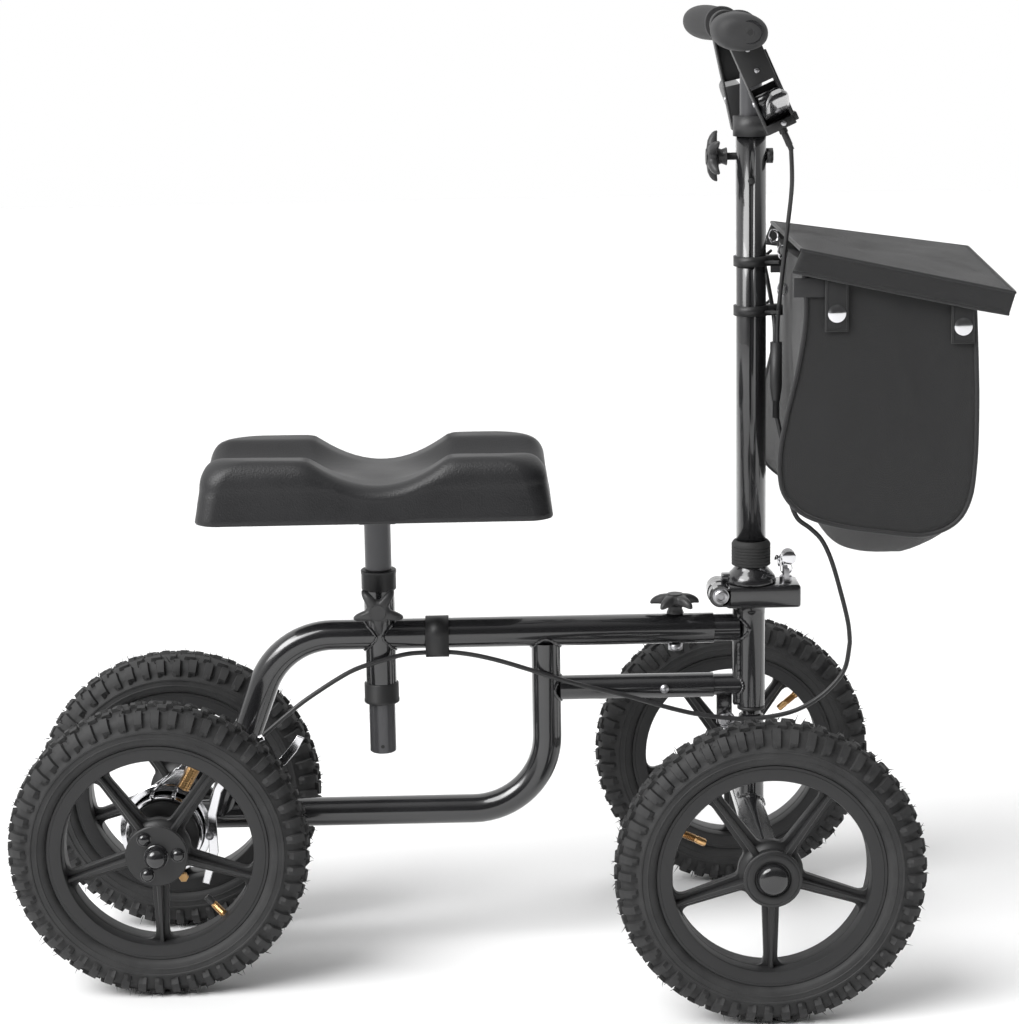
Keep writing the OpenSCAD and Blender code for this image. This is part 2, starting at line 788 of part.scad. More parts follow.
module lever_bracket(left, tilt) {
    y0 = -clamp_in - clamp_w;
    cheek = lever_w / 2 + 0.5;
    on_lever(left, tilt) {
        color(black_paint) difference() {
            union() {
                translate([0, y0, 0]) rod_y(0, clamp_w, cross_bar_d + 7);
                translate([8, y0, -cheek - 2]) cube([box_u0 - 14, 4, 2 * cheek + 4]);
                translate([8, y0, -cheek - 2]) cube([box_u0 - 8, clamp_w, 2]);
                translate([8, y0, cheek]) cube([box_u0 - 8, clamp_w, 2]);
                translate([box_u0, y0 - 2, -15]) cube([box_u1 - box_u0, clamp_w + 2, 30]);
            }
            translate([0, y0, 0]) rod_y(-1, clamp_w + 1, cross_bar_d + 2 * seat_gap);
            translate([box_u0 - 1, y0 - 3, -cheek]) cube([box_u1 - box_u0 - 9, clamp_w + 1, 2 * cheek]);
            translate([lever_pivot_u, y0 + 10, -20]) cylinder(h = 40, d = 6 + 2 * fit);
        }
        color(black_plastic) {
            translate([30, y0 + 14.5, 15.05]) cube([box_u1 - 38, 5, 2.6]);
            translate([box_u1 - 10, y0 + 3, 15.05]) cube([8, 16, 4]);
        }
        color(steel_grey) {
            for (u = [22, 44]) translate([u, y0 - 1.35, 0]) rod_y(0, 1.3, 5);
            translate([box_u1 + seat_gap, y0 + 2, left ? 10 : -8]) rod_x(0, left ? 19.9 : 22.1, 7);
        }
    }
}

module lever_brackets() {
    lever_bracket(false, right_tilt);
    lever_bracket(true, left_tilt);
}

module brake_lever(left, tilt) {
    y0 = -clamp_in - 10;
    on_lever(left, tilt) {
        color(black_paint) difference() {
            union() {
                translate([lever_pivot_u, y0, -lever_w / 2]) cylinder(h = lever_w, d = 14);
                translate([0, 0, -lever_w / 2]) linear_extrude(lever_w) polygon([
                    [lever_pivot_u - 7, y0], [84, y0 - 20], [82, y0 - 40], [72, y0 - 80], [63, y0 - 112],
                    [58, y0 - 120], [61, y0 - 123], [68, y0 - 116], [78, y0 - 80], [88, y0 - 40],
                    [93, y0 - 18], [88, y0 - 4], [lever_pivot_u + 7, y0]]);
            }
            translate([lever_pivot_u, y0, -20]) cylinder(h = 40, d = 6 + 2 * fit);
        }
        color(steel_grey) translate([lever_pivot_u, y0, -16.2]) cylinder(h = 32.4, d = 6);
    }
}

module right_brake_lever() {
    brake_lever(false, right_tilt);
}

module left_brake_lever() {
    brake_lever(true, left_tilt);
}

// ---------- seat ----------

module seat_post() {
    top = pad_h - 0.1;
    color(grey_paint) translate([seat_x, 0, 0]) difference() {
        union() {
            rod_z(top - post_l - 8, top - 4, post_d);
            translate([-60, -30, top - 4]) cube([120, 60, 4]);
            translate([post_d / 2 - 2, -2, top - 13]) cube([26, 4, 9]);
            translate([-post_d / 2 - 24, -2, top - 13]) cube([26, 4, 9]);
        }
        rod_z(top - post_l - 9, top - 8, post_d - 4);
        translate([0, 0, top - post_l - 2]) rod_y(-20, 0, 4);
    }
}

module knee_pad() {
    r = 18;
    color(black_rubber) translate([seat_x, 0, pad_h]) hull() for (sx = [-1, 1]) for (sy = [-1, 1]) {
        translate([sx * (pad_l / 2 - r), sy * (pad_w / 2 - r), 0]) cylinder(h = 14, r = r, $fn = 32);
        translate([sx * (pad_l / 2 - r - 14), sy * (pad_w / 2 - r - 14), pad_t - 10])
            cylinder(h = 9.9, r = r - 4, $fn = 32);
    }
}

// ---------- bag ----------

module bag_clip(z0) {
    translate([steer_x, 0, z0]) difference() {
        union() {
            rod_z(0, 10, stem_d + 5);
            translate([stem_d / 2, -8, 0]) cube([bag_gap - stem_d / 2 - seat_gap, 16, 10]);
        }
        rod_z(-1, 11, stem_d + 2 * seat_gap);
    }
}

module bag_clips() {
    color(steel_grey) {
        bag_clip(bag_hinge_z - 28);
        bag_clip(bag_hinge_z - 78);
    }
}

module bag_body() {
    r = 40;
    low = bag_hinge_z - bag_t;
    color(fabric_black) hull() {
        translate([bag_x0, -bag_w / 2, bag_hinge_z - 14]) cube([4, bag_w, 4]);
        translate([bag_x0 + bag_l - 4, -bag_w / 2, bag_hinge_z - lid_fall - 10]) cube([4, bag_w, 4]);
        for (x = [r, bag_l - r]) translate([bag_x0 + x, 0, low + r]) rod_y(-bag_w / 2, bag_w / 2, 2 * r);
    }
}

module bag_lid() {
    lid_w = bag_w + 14;
    lid_l = bag_l + lid_over;
    front_z = bag_hinge_z - lid_fall;
    color(fabric_black) translate([0, lid_w / 2, 0]) rotate([90, 0, 0]) difference() {
        linear_extrude(lid_w) polygon([[bag_x0, bag_hinge_z - 22], [bag_x0, bag_hinge_z + 4],
            [bag_x0 + lid_l, front_z + 2], [bag_x0 + lid_l, front_z - 22]]);
        translate([0, 0, 4]) linear_extrude(lid_w - 8) polygon([[bag_x0 - 1, bag_hinge_z - 40],
            [bag_x0 - 1, bag_hinge_z - 3], [bag_x0 + lid_l - 4, front_z - 4],
            [bag_x0 + lid_l - 4, front_z - 40]]);
    }
}

// Tabs under the lid's skirt with their snap buttons
module bag_snap(x) {
    z = bag_hinge_z - 58 - lid_fall * x / bag_l * 0.45;
    color(fabric_black) translate([bag_x0 + x - 10, -bag_w / 2 - 2.1, z - 12]) cube([21, 2, 40]);
    color(chrome_grey) translate([bag_x0 + x, 0, z]) rod_y(-bag_w / 2 - 4.6, -bag_w / 2 - 2, 15);
}

module bag_snaps() {
    for (left = [false, true]) on_side(left) {
        bag_snap(44);
        bag_snap(166);
    }
}

// ---------- axles ----------

module axle(x, track, cap_out) {
    end = track / 2 + cap_out;
    translate([x, 0, axle_z]) {
        rod_y(-end, end, axle_d);
        for (side = [-1, 1]) translate([0, side * (end - nut_t / 2), 0]) difference() {
            translate([0, -nut_t / 2, 0]) rotate([-90, 0, 0]) cylinder(h = nut_t, d = nut_d, $fn = 6);
            rod_y(-nut_t, nut_t, axle_d);
        }
    }
}

module front_axle() {
    color(steel_grey) axle(front_x, front_track, hub_half + nut_t + 0.2);
}

module rear_axle() {
    end = rear_track / 2 + hub_half + 4.3;
    color(black_paint) translate([rear_x, 0, axle_z]) {
        rod_y(-end, end, axle_d);
        for (left = [false, true]) on_side(left) translate([0, -end + 0.1, 0]) rotate([90, 0, 0]) {
            cylinder(h = 5, d = 23, $fn = 64);
            intersection() {
                translate([0, 0, 1]) sphere(d = 23);
                translate([0, 0, 5]) cylinder(h = 20, d = 30);
            }
        }
    }
}

// ---------- wheels ----------

module spoke_windows() {
    offset(r = 7) offset(delta = -7) difference() {
        circle(r = rim_in - 1, $fn = 96);
        circle(d = hub_d + 6);
        for (k = [0 : spoke_count - 1]) rotate(360 / spoke_count * k - 90)
            polygon([[0, -spoke_w / 2 - 1.5], [rim_in + 5, -spoke_w / 2 + 1],
                [rim_in + 5, spoke_w / 2 - 1], [0, spoke_w / 2 + 1.5]]);
    }
}

module rim(valve_turn) {
    difference() {
        union() {
            rotate_extrude($fn = 96) polygon([[rim_in, -rim_half], [rim_r, -rim_half],
                [rim_r, -rim_half + flange_t], [rim_in + barrel_t, -rim_half + flange_t + 4],
                [rim_in + barrel_t, rim_half - flange_t - 4], [rim_r, rim_half - flange_t],
                [rim_r, rim_half], [rim_in, rim_half]]);
            translate([0, 0, -web_t / 2]) linear_extrude(web_t) difference() {
                circle(r = rim_in + 1, $fn = 96);
                spoke_windows();
            }
            rod_z(-hub_in, hub_half, hub_d);
            for (k = [0 : spoke_count - 1]) rotate([0, 0, 360 / spoke_count * k - 90])
                rotate([90, 0, 0]) translate([0, 0, -2.5]) linear_extrude(5) polygon([
                    [hub_d / 2 - 3, 0], [hub_d / 2 - 3, 15], [rim_in + 1, 10], [rim_in + 1, 0]]);
        }
        rod_z(-hub_in - 1, -hub_in + bearing_w, bearing_d + 2 * seat_gap);
        rod_z(hub_half - bearing_w, hub_half + 1, bearing_d + 2 * seat_gap);
        rod_z(-hub_in - 1, hub_half + 1, axle_d + 8);
        rotate([0, 0, valve_turn]) translate([rim_in - 2, 0, 0]) rod_x(-5, 20, valve_d + 0.4);
    }
}

module tyre() {
    top = wheel_d / 2;
    half = tyre_w / 2;
    lip = rim_half - flange_t - 0.2;
    foot = lip - 3.5;
    foot_r = bead_r + 1.5;
    shoulder = [for (a = [0 : 15 : 90]) [top - 14 + 14 * sin(a), half - 12 + 12 * cos(a)]];
    outside = concat([[foot_r, foot], [rim_r, lip], [rim_r + 0.4, rim_half - 0.5],
        [rim_r + 6, half - 1], [rim_r + 16, half]], shoulder);
    inside = [[foot_r, foot - 6], [rim_r + 6, half - 6], [top - 14, half - 7], [top - 7, half - 14]];
    count = len(outside);
    rotate_extrude($fn = 128) polygon(concat(
        outside,
        [for (i = [1 : count - 1]) [outside[count - 1 - i][0], -outside[count - 1 - i][1]]],
        [for (p = inside) [p[0], -p[1]]],
        [for (i = [0 : 3]) inside[3 - i]]));
}

// Air tube with its valve, which comes through the rim
module inner_tube(valve_turn) {
    section = tyre_w - 20;
    mid = rim_r + 13;
    difference() {
        rotate_extrude($fn = 96) translate([mid, 0]) circle(d = section, $fn = 32);
        rotate_extrude($fn = 96) translate([mid, 0]) circle(d = section - 4, $fn = 32);
    }
    rotate([0, 0, valve_turn]) {
        rod_x(rim_in - valve_l + 4, mid - section / 2 + 1, valve_d);
        rod_x(rim_in - valve_l, rim_in - valve_l + 4, valve_d - 2);
    }
}

module bearing() {
    ring(bearing_d, axle_d + 2 * fit, bearing_w - 0.2);
}

module hub_set(front) {
    color(steel_grey) {
        translate([0, 0, -hub_in + 0.1]) bearing();
        translate([0, 0, hub_half - bearing_w + 0.1]) bearing();
    }
    color(black_plastic) translate([0, 0, hub_half + 0.05]) if (front) difference() {
        union() {
            cylinder(h = cap_t, d = front_plate_d);
            rod_z(0, 8, 2 * dome_r);
            translate([0, 0, 8]) cylinder(h = 4, r1 = dome_r, r2 = dome_r - 6);
        }
        rod_z(-1, 9, 2 * dome_r - 6);
    }
    else {
        difference() {
            cylinder(h = 4, d = rear_plate_d);
            translate([0, 0, -1]) cylinder(h = 6, d = axle_d + 4);
        }
        for (k = [0 : 2]) rotate([0, 0, 120 * k + 3]) translate([21.5, 0, 4]) intersection() {
            translate([0, 0, -1]) sphere(d = 13.5);
            cylinder(h = 20, d = 20);
        }
    }
}

module front_right_rim() { color(black_plastic) on_wheel(false, front_x, front_track) rim(right_front_valve); }
module front_left_rim() { color(black_plastic) on_wheel(true, front_x, front_track) rim(left_valve); }
module rear_right_rim() { color(black_plastic) on_wheel(false, rear_x, rear_track) rim(right_rear_valve); }
module rear_left_rim() { color(black_plastic) on_wheel(true, rear_x, rear_track) rim(left_valve); }
module front_right_tyre() { color(black_rubber) on_wheel(false, front_x, front_track) tyre(); }
module front_left_tyre() { color(black_rubber) on_wheel(true, front_x, front_track) tyre(); }
module rear_right_tyre() { color(black_rubber) on_wheel(false, rear_x, rear_track) tyre(); }
module rear_left_tyre() { color(black_rubber) on_wheel(true, rear_x, rear_track) tyre(); }
module front_right_inner_tube() {
    color(copper) on_wheel(false, front_x, front_track) inner_tube(right_front_valve);
}
module front_left_inner_tube() { color(copper) on_wheel(true, front_x, front_track) inner_tube(left_valve); }
module rear_right_inner_tube() {
    color(copper) on_wheel(false, rear_x, rear_track) inner_tube(right_rear_valve);
}
module rear_left_inner_tube() { color(copper) on_wheel(true, rear_x, rear_track) inner_tube(left_valve); }
module front_right_hub_set() { on_wheel(false, front_x, front_track) hub_set(true); }
module front_left_hub_set() { on_wheel(true, front_x, front_track) hub_set(true); }
module rear_right_hub_set() { on_wheel(false, rear_x, rear_track) hub_set(false); }
module rear_left_hub_set() { on_wheel(true, rear_x, rear_track) hub_set(false); }

upper_tube();
down_tube();
lower_tube();
rear_axle_tube();
seat_sleeve();
seat_collars();
head_tube();
head_bushes();
frame_fasteners();
cable_strap();
brake_backplate();
cable_anchor();
brake_band();
brake_drum();
brake_arm();
brake_cable_rear();
brake_cable_head();
brake_cable_stem();
lever_cables();
cable_splitter();
front_fork();
lower_casting();
fold_pin();
latch_lever();
upper_casting();
stem_tube();
stem_sleeve();
stem_collar();
stem_knob();
frame_knob();
seat_knob();
handlebar();
grips();
lever_brackets();
right_brake_lever();
left_brake_lever();
seat_post();
knee_pad();
bag_clips();
bag_body();
bag_lid();
bag_snaps();
front_axle();
rear_axle();
front_right_rim();
front_right_tyre();
front_right_inner_tube();
front_right_hub_set();
front_left_rim();
front_left_tyre();
front_left_inner_tube();
front_left_hub_set();
rear_right_rim();
rear_right_tyre();
rear_right_inner_tube();
rear_right_hub_set();
rear_left_rim();
rear_left_tyre();
rear_left_inner_tube();
rear_left_hub_set();
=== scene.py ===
"""Knee scooter: visual pieces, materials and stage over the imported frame.

Lengths in the helpers are in millimetres.
"""

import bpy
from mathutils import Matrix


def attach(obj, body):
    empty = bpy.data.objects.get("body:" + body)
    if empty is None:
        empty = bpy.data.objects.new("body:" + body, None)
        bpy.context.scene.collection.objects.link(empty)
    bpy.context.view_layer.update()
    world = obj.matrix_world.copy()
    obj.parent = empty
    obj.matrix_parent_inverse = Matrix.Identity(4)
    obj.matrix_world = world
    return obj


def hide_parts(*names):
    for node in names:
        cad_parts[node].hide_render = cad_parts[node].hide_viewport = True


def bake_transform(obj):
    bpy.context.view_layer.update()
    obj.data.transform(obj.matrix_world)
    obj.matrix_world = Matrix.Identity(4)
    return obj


bl_info = {
    "name": "Knee scooter",
    "version": (1, 0, 0),
    "blender": (4, 5, 0),
    "location": "View3D > Sidebar > Scooter",
    "description": "Builds the knee scooter's visual pieces and its studio stage",
    "category": "Object",
}

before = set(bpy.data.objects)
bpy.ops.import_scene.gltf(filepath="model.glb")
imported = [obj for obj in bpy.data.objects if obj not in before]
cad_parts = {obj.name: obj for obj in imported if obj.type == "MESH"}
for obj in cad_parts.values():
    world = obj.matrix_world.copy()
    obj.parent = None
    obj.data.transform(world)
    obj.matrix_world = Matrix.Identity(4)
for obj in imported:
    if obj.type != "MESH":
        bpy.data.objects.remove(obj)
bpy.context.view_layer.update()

import math
import random

import bmesh
import bpy
from mathutils import Matrix, Vector, noise

MM = 0.001

# key places of the scooter, in the row frame
REAR_X = -350.0
FRONT_X = 257.0
STEER_X = 259.0
SEAT_X = -125.0
DOWN_X = 46.0
AXLE_Z = 152.5
TUBE_Z = 345.0
LOWER_Z = 284.0
PAD_Z = 480.0
BAR_Z = 958.0
BAR_X = 239.0
HEAD_TOP = 366.7
HEAD_LOW = 261.0
CAST_TOP = 393.0

# radii of the tubes and of their bends
TUBE_R = 15.7
DOWN_R = 15.0
LOWER_R = 12.7
AXLE_TUBE_R = 17
CROSS_R = 15
HEAD_R = 14.3
SLEEVE_R = 15.9
POST_R = 13.6
FORK_R = 13
STEERER_R = 10
BEND_R = 78

# highest reach of the tread and of its moulding whiskers from the wheel's axis
TREAD_LIMIT = 152.4
WHISKER_LIMIT = 157.5

WHEELS = {
    "front_right": (FRONT_X, 212.0, False, 155.0),
    "front_left": (FRONT_X, 212.0, True, 40.0),
    "rear_right": (REAR_X, 102.0, False, -49.0),
    "rear_left": (REAR_X, 102.0, True, 40.0),
}


# ---------- shells: (vertices, faces) in millimetres ----------


def loft(rings, cap_start=True, cap_end=True, closed=True):
    """Skin over rings of equal length; closed joins each ring's last point to its first."""
    n = len(rings[0])
    verts = [tuple(p) for ring in rings for p in ring]
    faces = []
    span = n if closed else n - 1
    for i in range(len(rings) - 1):
        for k in range(span):
            a, b = i * n + k, i * n + (k + 1) % n
            faces.append((a, b, b + n, a + n))
    if cap_start:
        faces.append(tuple(range(n - 1, -1, -1)))
    if cap_end:
        faces.append(tuple(range((len(rings) - 1) * n, len(rings) * n)))
    return verts, faces


def lathe(profile, sides=64, closed=False):
    """Profile of (radius, height) turned about local Z. A closed profile is joined end to start."""
    verts, rings = [], []
    for r, h in profile:
        if r < 1e-6:
            rings.append([len(verts)])
            verts.append((0.0, 0.0, h))
        else:
            rings.append(list(range(len(verts), len(verts) + sides)))
            verts += [
                (r * math.cos(math.tau * k / sides), r * math.sin(math.tau * k / sides), h)
                for k in range(sides)
            ]
    faces = []
    pairs = list(zip(rings, rings[1:])) + ([(rings[-1], rings[0])] if closed else [])
    for a, b in pairs:
        for k in range(sides):
            m = (k + 1) % sides
            if len(a) == 1 and len(b) > 1:
                faces.append((a[0], b[m], b[k]))
            elif len(b) == 1 and len(a) > 1:
                faces.append((a[k], a[m], b[0]))
            elif len(a) > 1:
                faces.append((a[k], a[m], b[m], b[k]))
    return verts, faces


def smooth_path(points, steps=6):
    """Catmull-Rom curve through the points, in any number of dimensions."""
    out = []
    last = len(points) - 1
    for i in range(last):
        a, b = points[max(i - 1, 0)], points[i]
        c, d = points[i + 1], points[min(i + 2, last)]
        for k in range(steps):
            t = k / steps
            out.append(
                tuple(
                    0.5
                    * (
                        2 * q
                        + (r - p) * t
                        + (2 * p - 5 * q + 4 * r - s) * t * t
                        + (3 * q - p - 3 * r + s) * t * t * t
                    )
                    for p, q, r, s in zip(a, b, c, d)
                )
            )
    return out + [tuple(points[-1])]


def tube(path, radius, sides=12, ripple=0.0, closed=False):
    """Round tube along a path; radius is a number or a list, and ripple roughens it like a weld bead."""
    pts = [Vector(p) for p in path]
    count = len(pts)
    rings, side = [], None
    for i, p in enumerate(pts):
        if closed:
            t = (pts[(i + 1) % count] - pts[i - 1]).normalized()
        else:
            t = (pts[min(i + 1, count - 1)] - pts[max(i - 1, 0)]).normalized()
        if side is None:
            side = t.orthogonal().normalized()
        side = (side - t * side.dot(t)).normalized()
        other = t.cross(side)
        r = radius[i] if isinstance(radius, (list, tuple)) else radius
        r *= 1 + ripple * math.sin(i * 2.1)
        rings.append(
            [
                p + side * (
                    r * math.cos(math.tau * k / sides)
                ) + other * (r * math.sin(math.tau * k / sides))
                for k in range(sides)
            ]
        )
    if not closed:
        return loft(rings)
    return loft(rings + [rings[0]], False, False)


def block(x0, x1, y0, y1, z0, z1, bevel=1.0, segments=2):
    """Box with rounded edges."""
    bm = bmesh.new()
    bmesh.ops.create_cube(bm, size=1)
    for v in bm.verts:
        v.co = Vector(
            (
                x0 + (v.co.x + 0.5) * (x1 - x0),
                y0 + (v.co.y + 0.5) * (y1 - y0),
                z0 + (v.co.z + 0.5) * (z1 - z0),
            )
        )
    if bevel > 0:
        bmesh.ops.bevel(
            bm, geom=bm.edges[:], offset=bevel, segments=segments, profile=0.5, affect="EDGES"
        )
    bmesh.ops.recalc_face_normals(bm, faces=bm.faces[:])
    verts = [tuple(v.co) for v in bm.verts]
    faces = [tuple(v.index for v in f.verts) for f in bm.faces]
    bm.free()
    return verts, faces


def plate(outer, holes, z0, z1, bevel=0.8):
    """Flat plate with holes and rounded edges, from closed outlines in local XY."""
    data = bpy.data.curves.new("plate", "CURVE")
    data.dimensions = "2D"
    data.fill_mode = "BOTH"
    data.extrude = (z1 - z0) / 2 - bevel
    data.bevel_depth = bevel
    data.bevel_resolution = 2
    data.offset = -bevel
    for outline in [outer, *holes]:
        spline = data.splines.new("POLY")
        spline.points.add(len(outline) - 1)
        for p, (x, y) in zip(spline.points, outline):
            p.co = (x, y, 0, 1)
        spline.use_cyclic_u = True
    ob = bpy.data.objects.new("plate", data)
    bpy.context.scene.collection.objects.link(ob)
    mesh = bpy.data.meshes.new_from_object(ob.evaluated_get(bpy.context.evaluated_depsgraph_get()))
    verts = [(v.co.x, v.co.y, v.co.z + (z0 + z1) / 2) for v in mesh.vertices]
    faces = [tuple(p.vertices) for p in mesh.polygons]
    bpy.data.objects.remove(ob)
    bpy.data.curves.remove(data)
    bpy.data.meshes.remove(mesh)
    return verts, faces


def place(x=0.0, y=0.0, z=0.0):
    """Move, in millimetres."""
    return Matrix.Translation((x, y, z))


def turn(degrees, axis):
    """Rotation about one axis."""
    return Matrix.Rotation(math.radians(degrees), 4, axis)


def wheel_matrix(name):
    """Local +Z points outward and local +Y up, mirrored for the left wheels."""
    x, half, left, _ = WHEELS[name]
    side = Matrix.Diagonal((1, -1, 1, 1)) if left else Matrix.Identity(4)
    return side @ place(x, -half, AXLE_Z) @ turn(90, "X")


class Build:
    """Collects shells and materials into one mesh."""

    def __init__(self):
        self.verts, self.faces, self.slots, self.materials = [], [], [], []

    def add(self, shell, material, matrix=None):
        """Adds a shell in its own coordinates, placed by matrix."""
        verts, faces = shell
        start = len(self.verts)
        if matrix is None:
            self.verts += verts
        else:
            self.verts += [tuple(matrix @ Vector(v)) for v in verts]
        flip = matrix is not None and matrix.determinant() < 0
        if material not in self.materials:
            self.materials.append(material)
        slot = self.materials.index(material)
        for f in faces:
            f = tuple(start + i for i in f)
            self.faces.append(f[::-1] if flip else f)
            self.slots.append(slot)
        return self

    def make(self, name, body=None, angle=40, outward=True):
        """Makes the object and lets it ride a body."""
        mesh = bpy.data.meshes.new(name)
        mesh.from_pydata([(x * MM, y * MM, z * MM) for x, y, z in self.verts], [], self.faces)
        for m in self.materials:
            mesh.materials.append(m)
        mesh.polygons.foreach_set("material_index", self.slots)
        if outward:
            bm = bmesh.new()
            bm.from_mesh(mesh)
            bmesh.ops.recalc_face_normals(bm, faces=bm.faces[:])
            bm.to_mesh(mesh)
            bm.free()
        mesh.polygons.foreach_set("use_smooth", [True] * len(mesh.polygons))
        mesh.set_sharp_from_angle(angle=math.radians(angle))
        mesh.update()
        ob = bpy.data.objects.new(name, mesh)
        bpy.context.scene.collection.objects.link(ob)
        if body:
            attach(ob, body)
        return ob


def dress(node, material, angle=30):
    """Gives a shown CAD node its material and smooth shading on curved faces."""
    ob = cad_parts[node]
    mesh = ob.data
    mesh.materials.clear()
    mesh.materials.append(material)
    custom = mesh.attributes.get("custom_normal")
    if custom is not None:
        mesh.attributes.remove(custom)
    mesh.polygons.foreach_set("material_index", [0] * len(mesh.polygons))
    mesh.polygons.foreach_set("use_smooth", [True] * len(mesh.polygons))
    mesh.set_sharp_from_angle(angle=math.radians(angle))
    weld = ob.modifiers.new("weld", "WELD")
    weld.merge_threshold = 0.00001
    return ob


# ---------- materials ----------


def new_group(name, inputs, outputs):
    """Empty shader group with named sockets."""
    group = bpy.data.node_groups.new(name, "ShaderNodeTree")
    for label, kind, value in inputs:
        socket = group.interface.new_socket(label, in_out="INPUT", socket_type=kind)
        socket.default_value = value
    for label, kind in outputs:
        group.interface.new_socket(label, in_out="OUTPUT", socket_type=kind)
    return group, group.nodes.new("NodeGroupInput"), group.nodes.new("NodeGroupOutput")


def drift_group():
    """Base colour and roughness that drift slowly over a surface, with a trace of dust."""
    group, start, end = new_group(
        "tone_drift",
        [
            ("Color", "NodeSocketColor", (0.02, 0.02, 0.02, 1)),
            ("Dust", "NodeSocketColor", (0.1, 0.1, 0.1, 1)),
            ("Amount", "NodeSocketFloat", 0.2),
            ("Scale", "NodeSocketFloat", 12.0),
            ("Roughness", "NodeSocketFloat", 0.5),
        ],
        [("Color", "NodeSocketColor"), ("Roughness", "NodeSocketFloat")],
    )
    nodes, links = group.nodes, group.links
    coord = nodes.new("ShaderNodeTexCoord")
    cloud = nodes.new("ShaderNodeTexNoise")
    cloud.inputs["Detail"].default_value = 6
    cloud.inputs["Roughness"].default_value = 0.62
    links.new(coord.outputs["Object"], cloud.inputs["Vector"])
    links.new(start.outputs["Scale"], cloud.inputs["Scale"])
    spread = nodes.new("ShaderNodeMapRange")
    spread.inputs["From Min"].default_value = 0.35
    spread.inputs["From Max"].default_value = 0.75
    links.new(cloud.outputs["Fac"], spread.inputs["Value"])
    share = nodes.new("ShaderNodeMath")
    share.operation = "MULTIPLY"
    links.new(spread.outputs["Result"], share.inputs[0])
    links.new(start.outputs["Amount"], share.inputs[1])
    mix = nodes.new("ShaderNodeMix")
    mix.data_type = "RGBA"
    links.new(share.outputs[0], mix.inputs["Factor"])
    links.new(start.outputs["Color"], mix.inputs["A"])
    links.new(start.outputs["Dust"], mix.inputs["B"])
    rough = nodes.new("ShaderNodeMath")
    rough.operation = "MULTIPLY_ADD"
    rough.inputs[1].default_value = 0.35
    links.new(share.outputs[0], rough.inputs[0])
    links.new(start.outputs["Roughness"], rough.inputs[2])
    links.new(mix.outputs["Result"], end.inputs["Color"])
    links.new(rough.outputs[0], end.inputs["Roughness"])
    return group


def grain_group():
    """Height of a fine pebbled grain over a soft unevenness."""
    group, start, end = new_group(
        "fine_grain",
        [("Scale", "NodeSocketFloat", 900.0), ("Soft", "NodeSocketFloat", 0.3)],
        [("Height", "NodeSocketFloat")],
    )
    nodes, links = group.nodes, group.links
    coord = nodes.new("ShaderNodeTexCoord")
    pebble = nodes.new("ShaderNodeTexVoronoi")
    pebble.feature = "SMOOTH_F1"
    swell = nodes.new("ShaderNodeTexNoise")
    swell.inputs["Detail"].default_value = 3
    coarse = nodes.new("ShaderNodeMath")
    coarse.operation = "MULTIPLY"
    coarse.inputs[1].default_value = 0.18
    links.new(start.outputs["Scale"], coarse.inputs[0])
    links.new(coarse.outputs[0], swell.inputs["Scale"])
    links.new(start.outputs["Scale"], pebble.inputs["Scale"])
    for texture in (pebble, swell):
        links.new(coord.outputs["Object"], texture.inputs["Vector"])
    add = nodes.new("ShaderNodeMath")
    add.operation = "MULTIPLY_ADD"
    links.new(swell.outputs["Fac"], add.inputs[0])
    links.new(start.outputs["Soft"], add.inputs[1])
    links.new(pebble.outputs["Distance"], add.inputs[2])
    links.new(add.outputs[0], end.inputs["Height"])
    return group


def weave_group():
    """Height of a plain weave seen on planes of any direction."""
    group, start, end = new_group(
        "plain_weave", [("Threads", "NodeSocketFloat", 900.0)], [("Height", "NodeSocketFloat")]
    )
    nodes, links = group.nodes, group.links
    coord = nodes.new("ShaderNodeTexCoord")
    total = None
    for direction in ("X", "Y", "Z"):
        wave = nodes.new("ShaderNodeTexWave")
        wave.wave_type = "BANDS"
        wave.bands_direction = direction
        wave.inputs["Distortion"].default_value = 0.6
        wave.inputs["Detail"].default_value = 1
        links.new(coord.outputs["Object"], wave.inputs["Vector"])
        links.new(start.outputs["Threads"], wave.inputs["Scale"])
        if total is None:
            total = wave.outputs["Fac"]
            continue
        add = nodes.new("ShaderNodeMath")
        links.new(total, add.inputs[0])
        links.new(wave.outputs["Fac"], add.inputs[1])
        total = add.outputs[0]
    links.new(total, end.inputs["Height"])
    return group


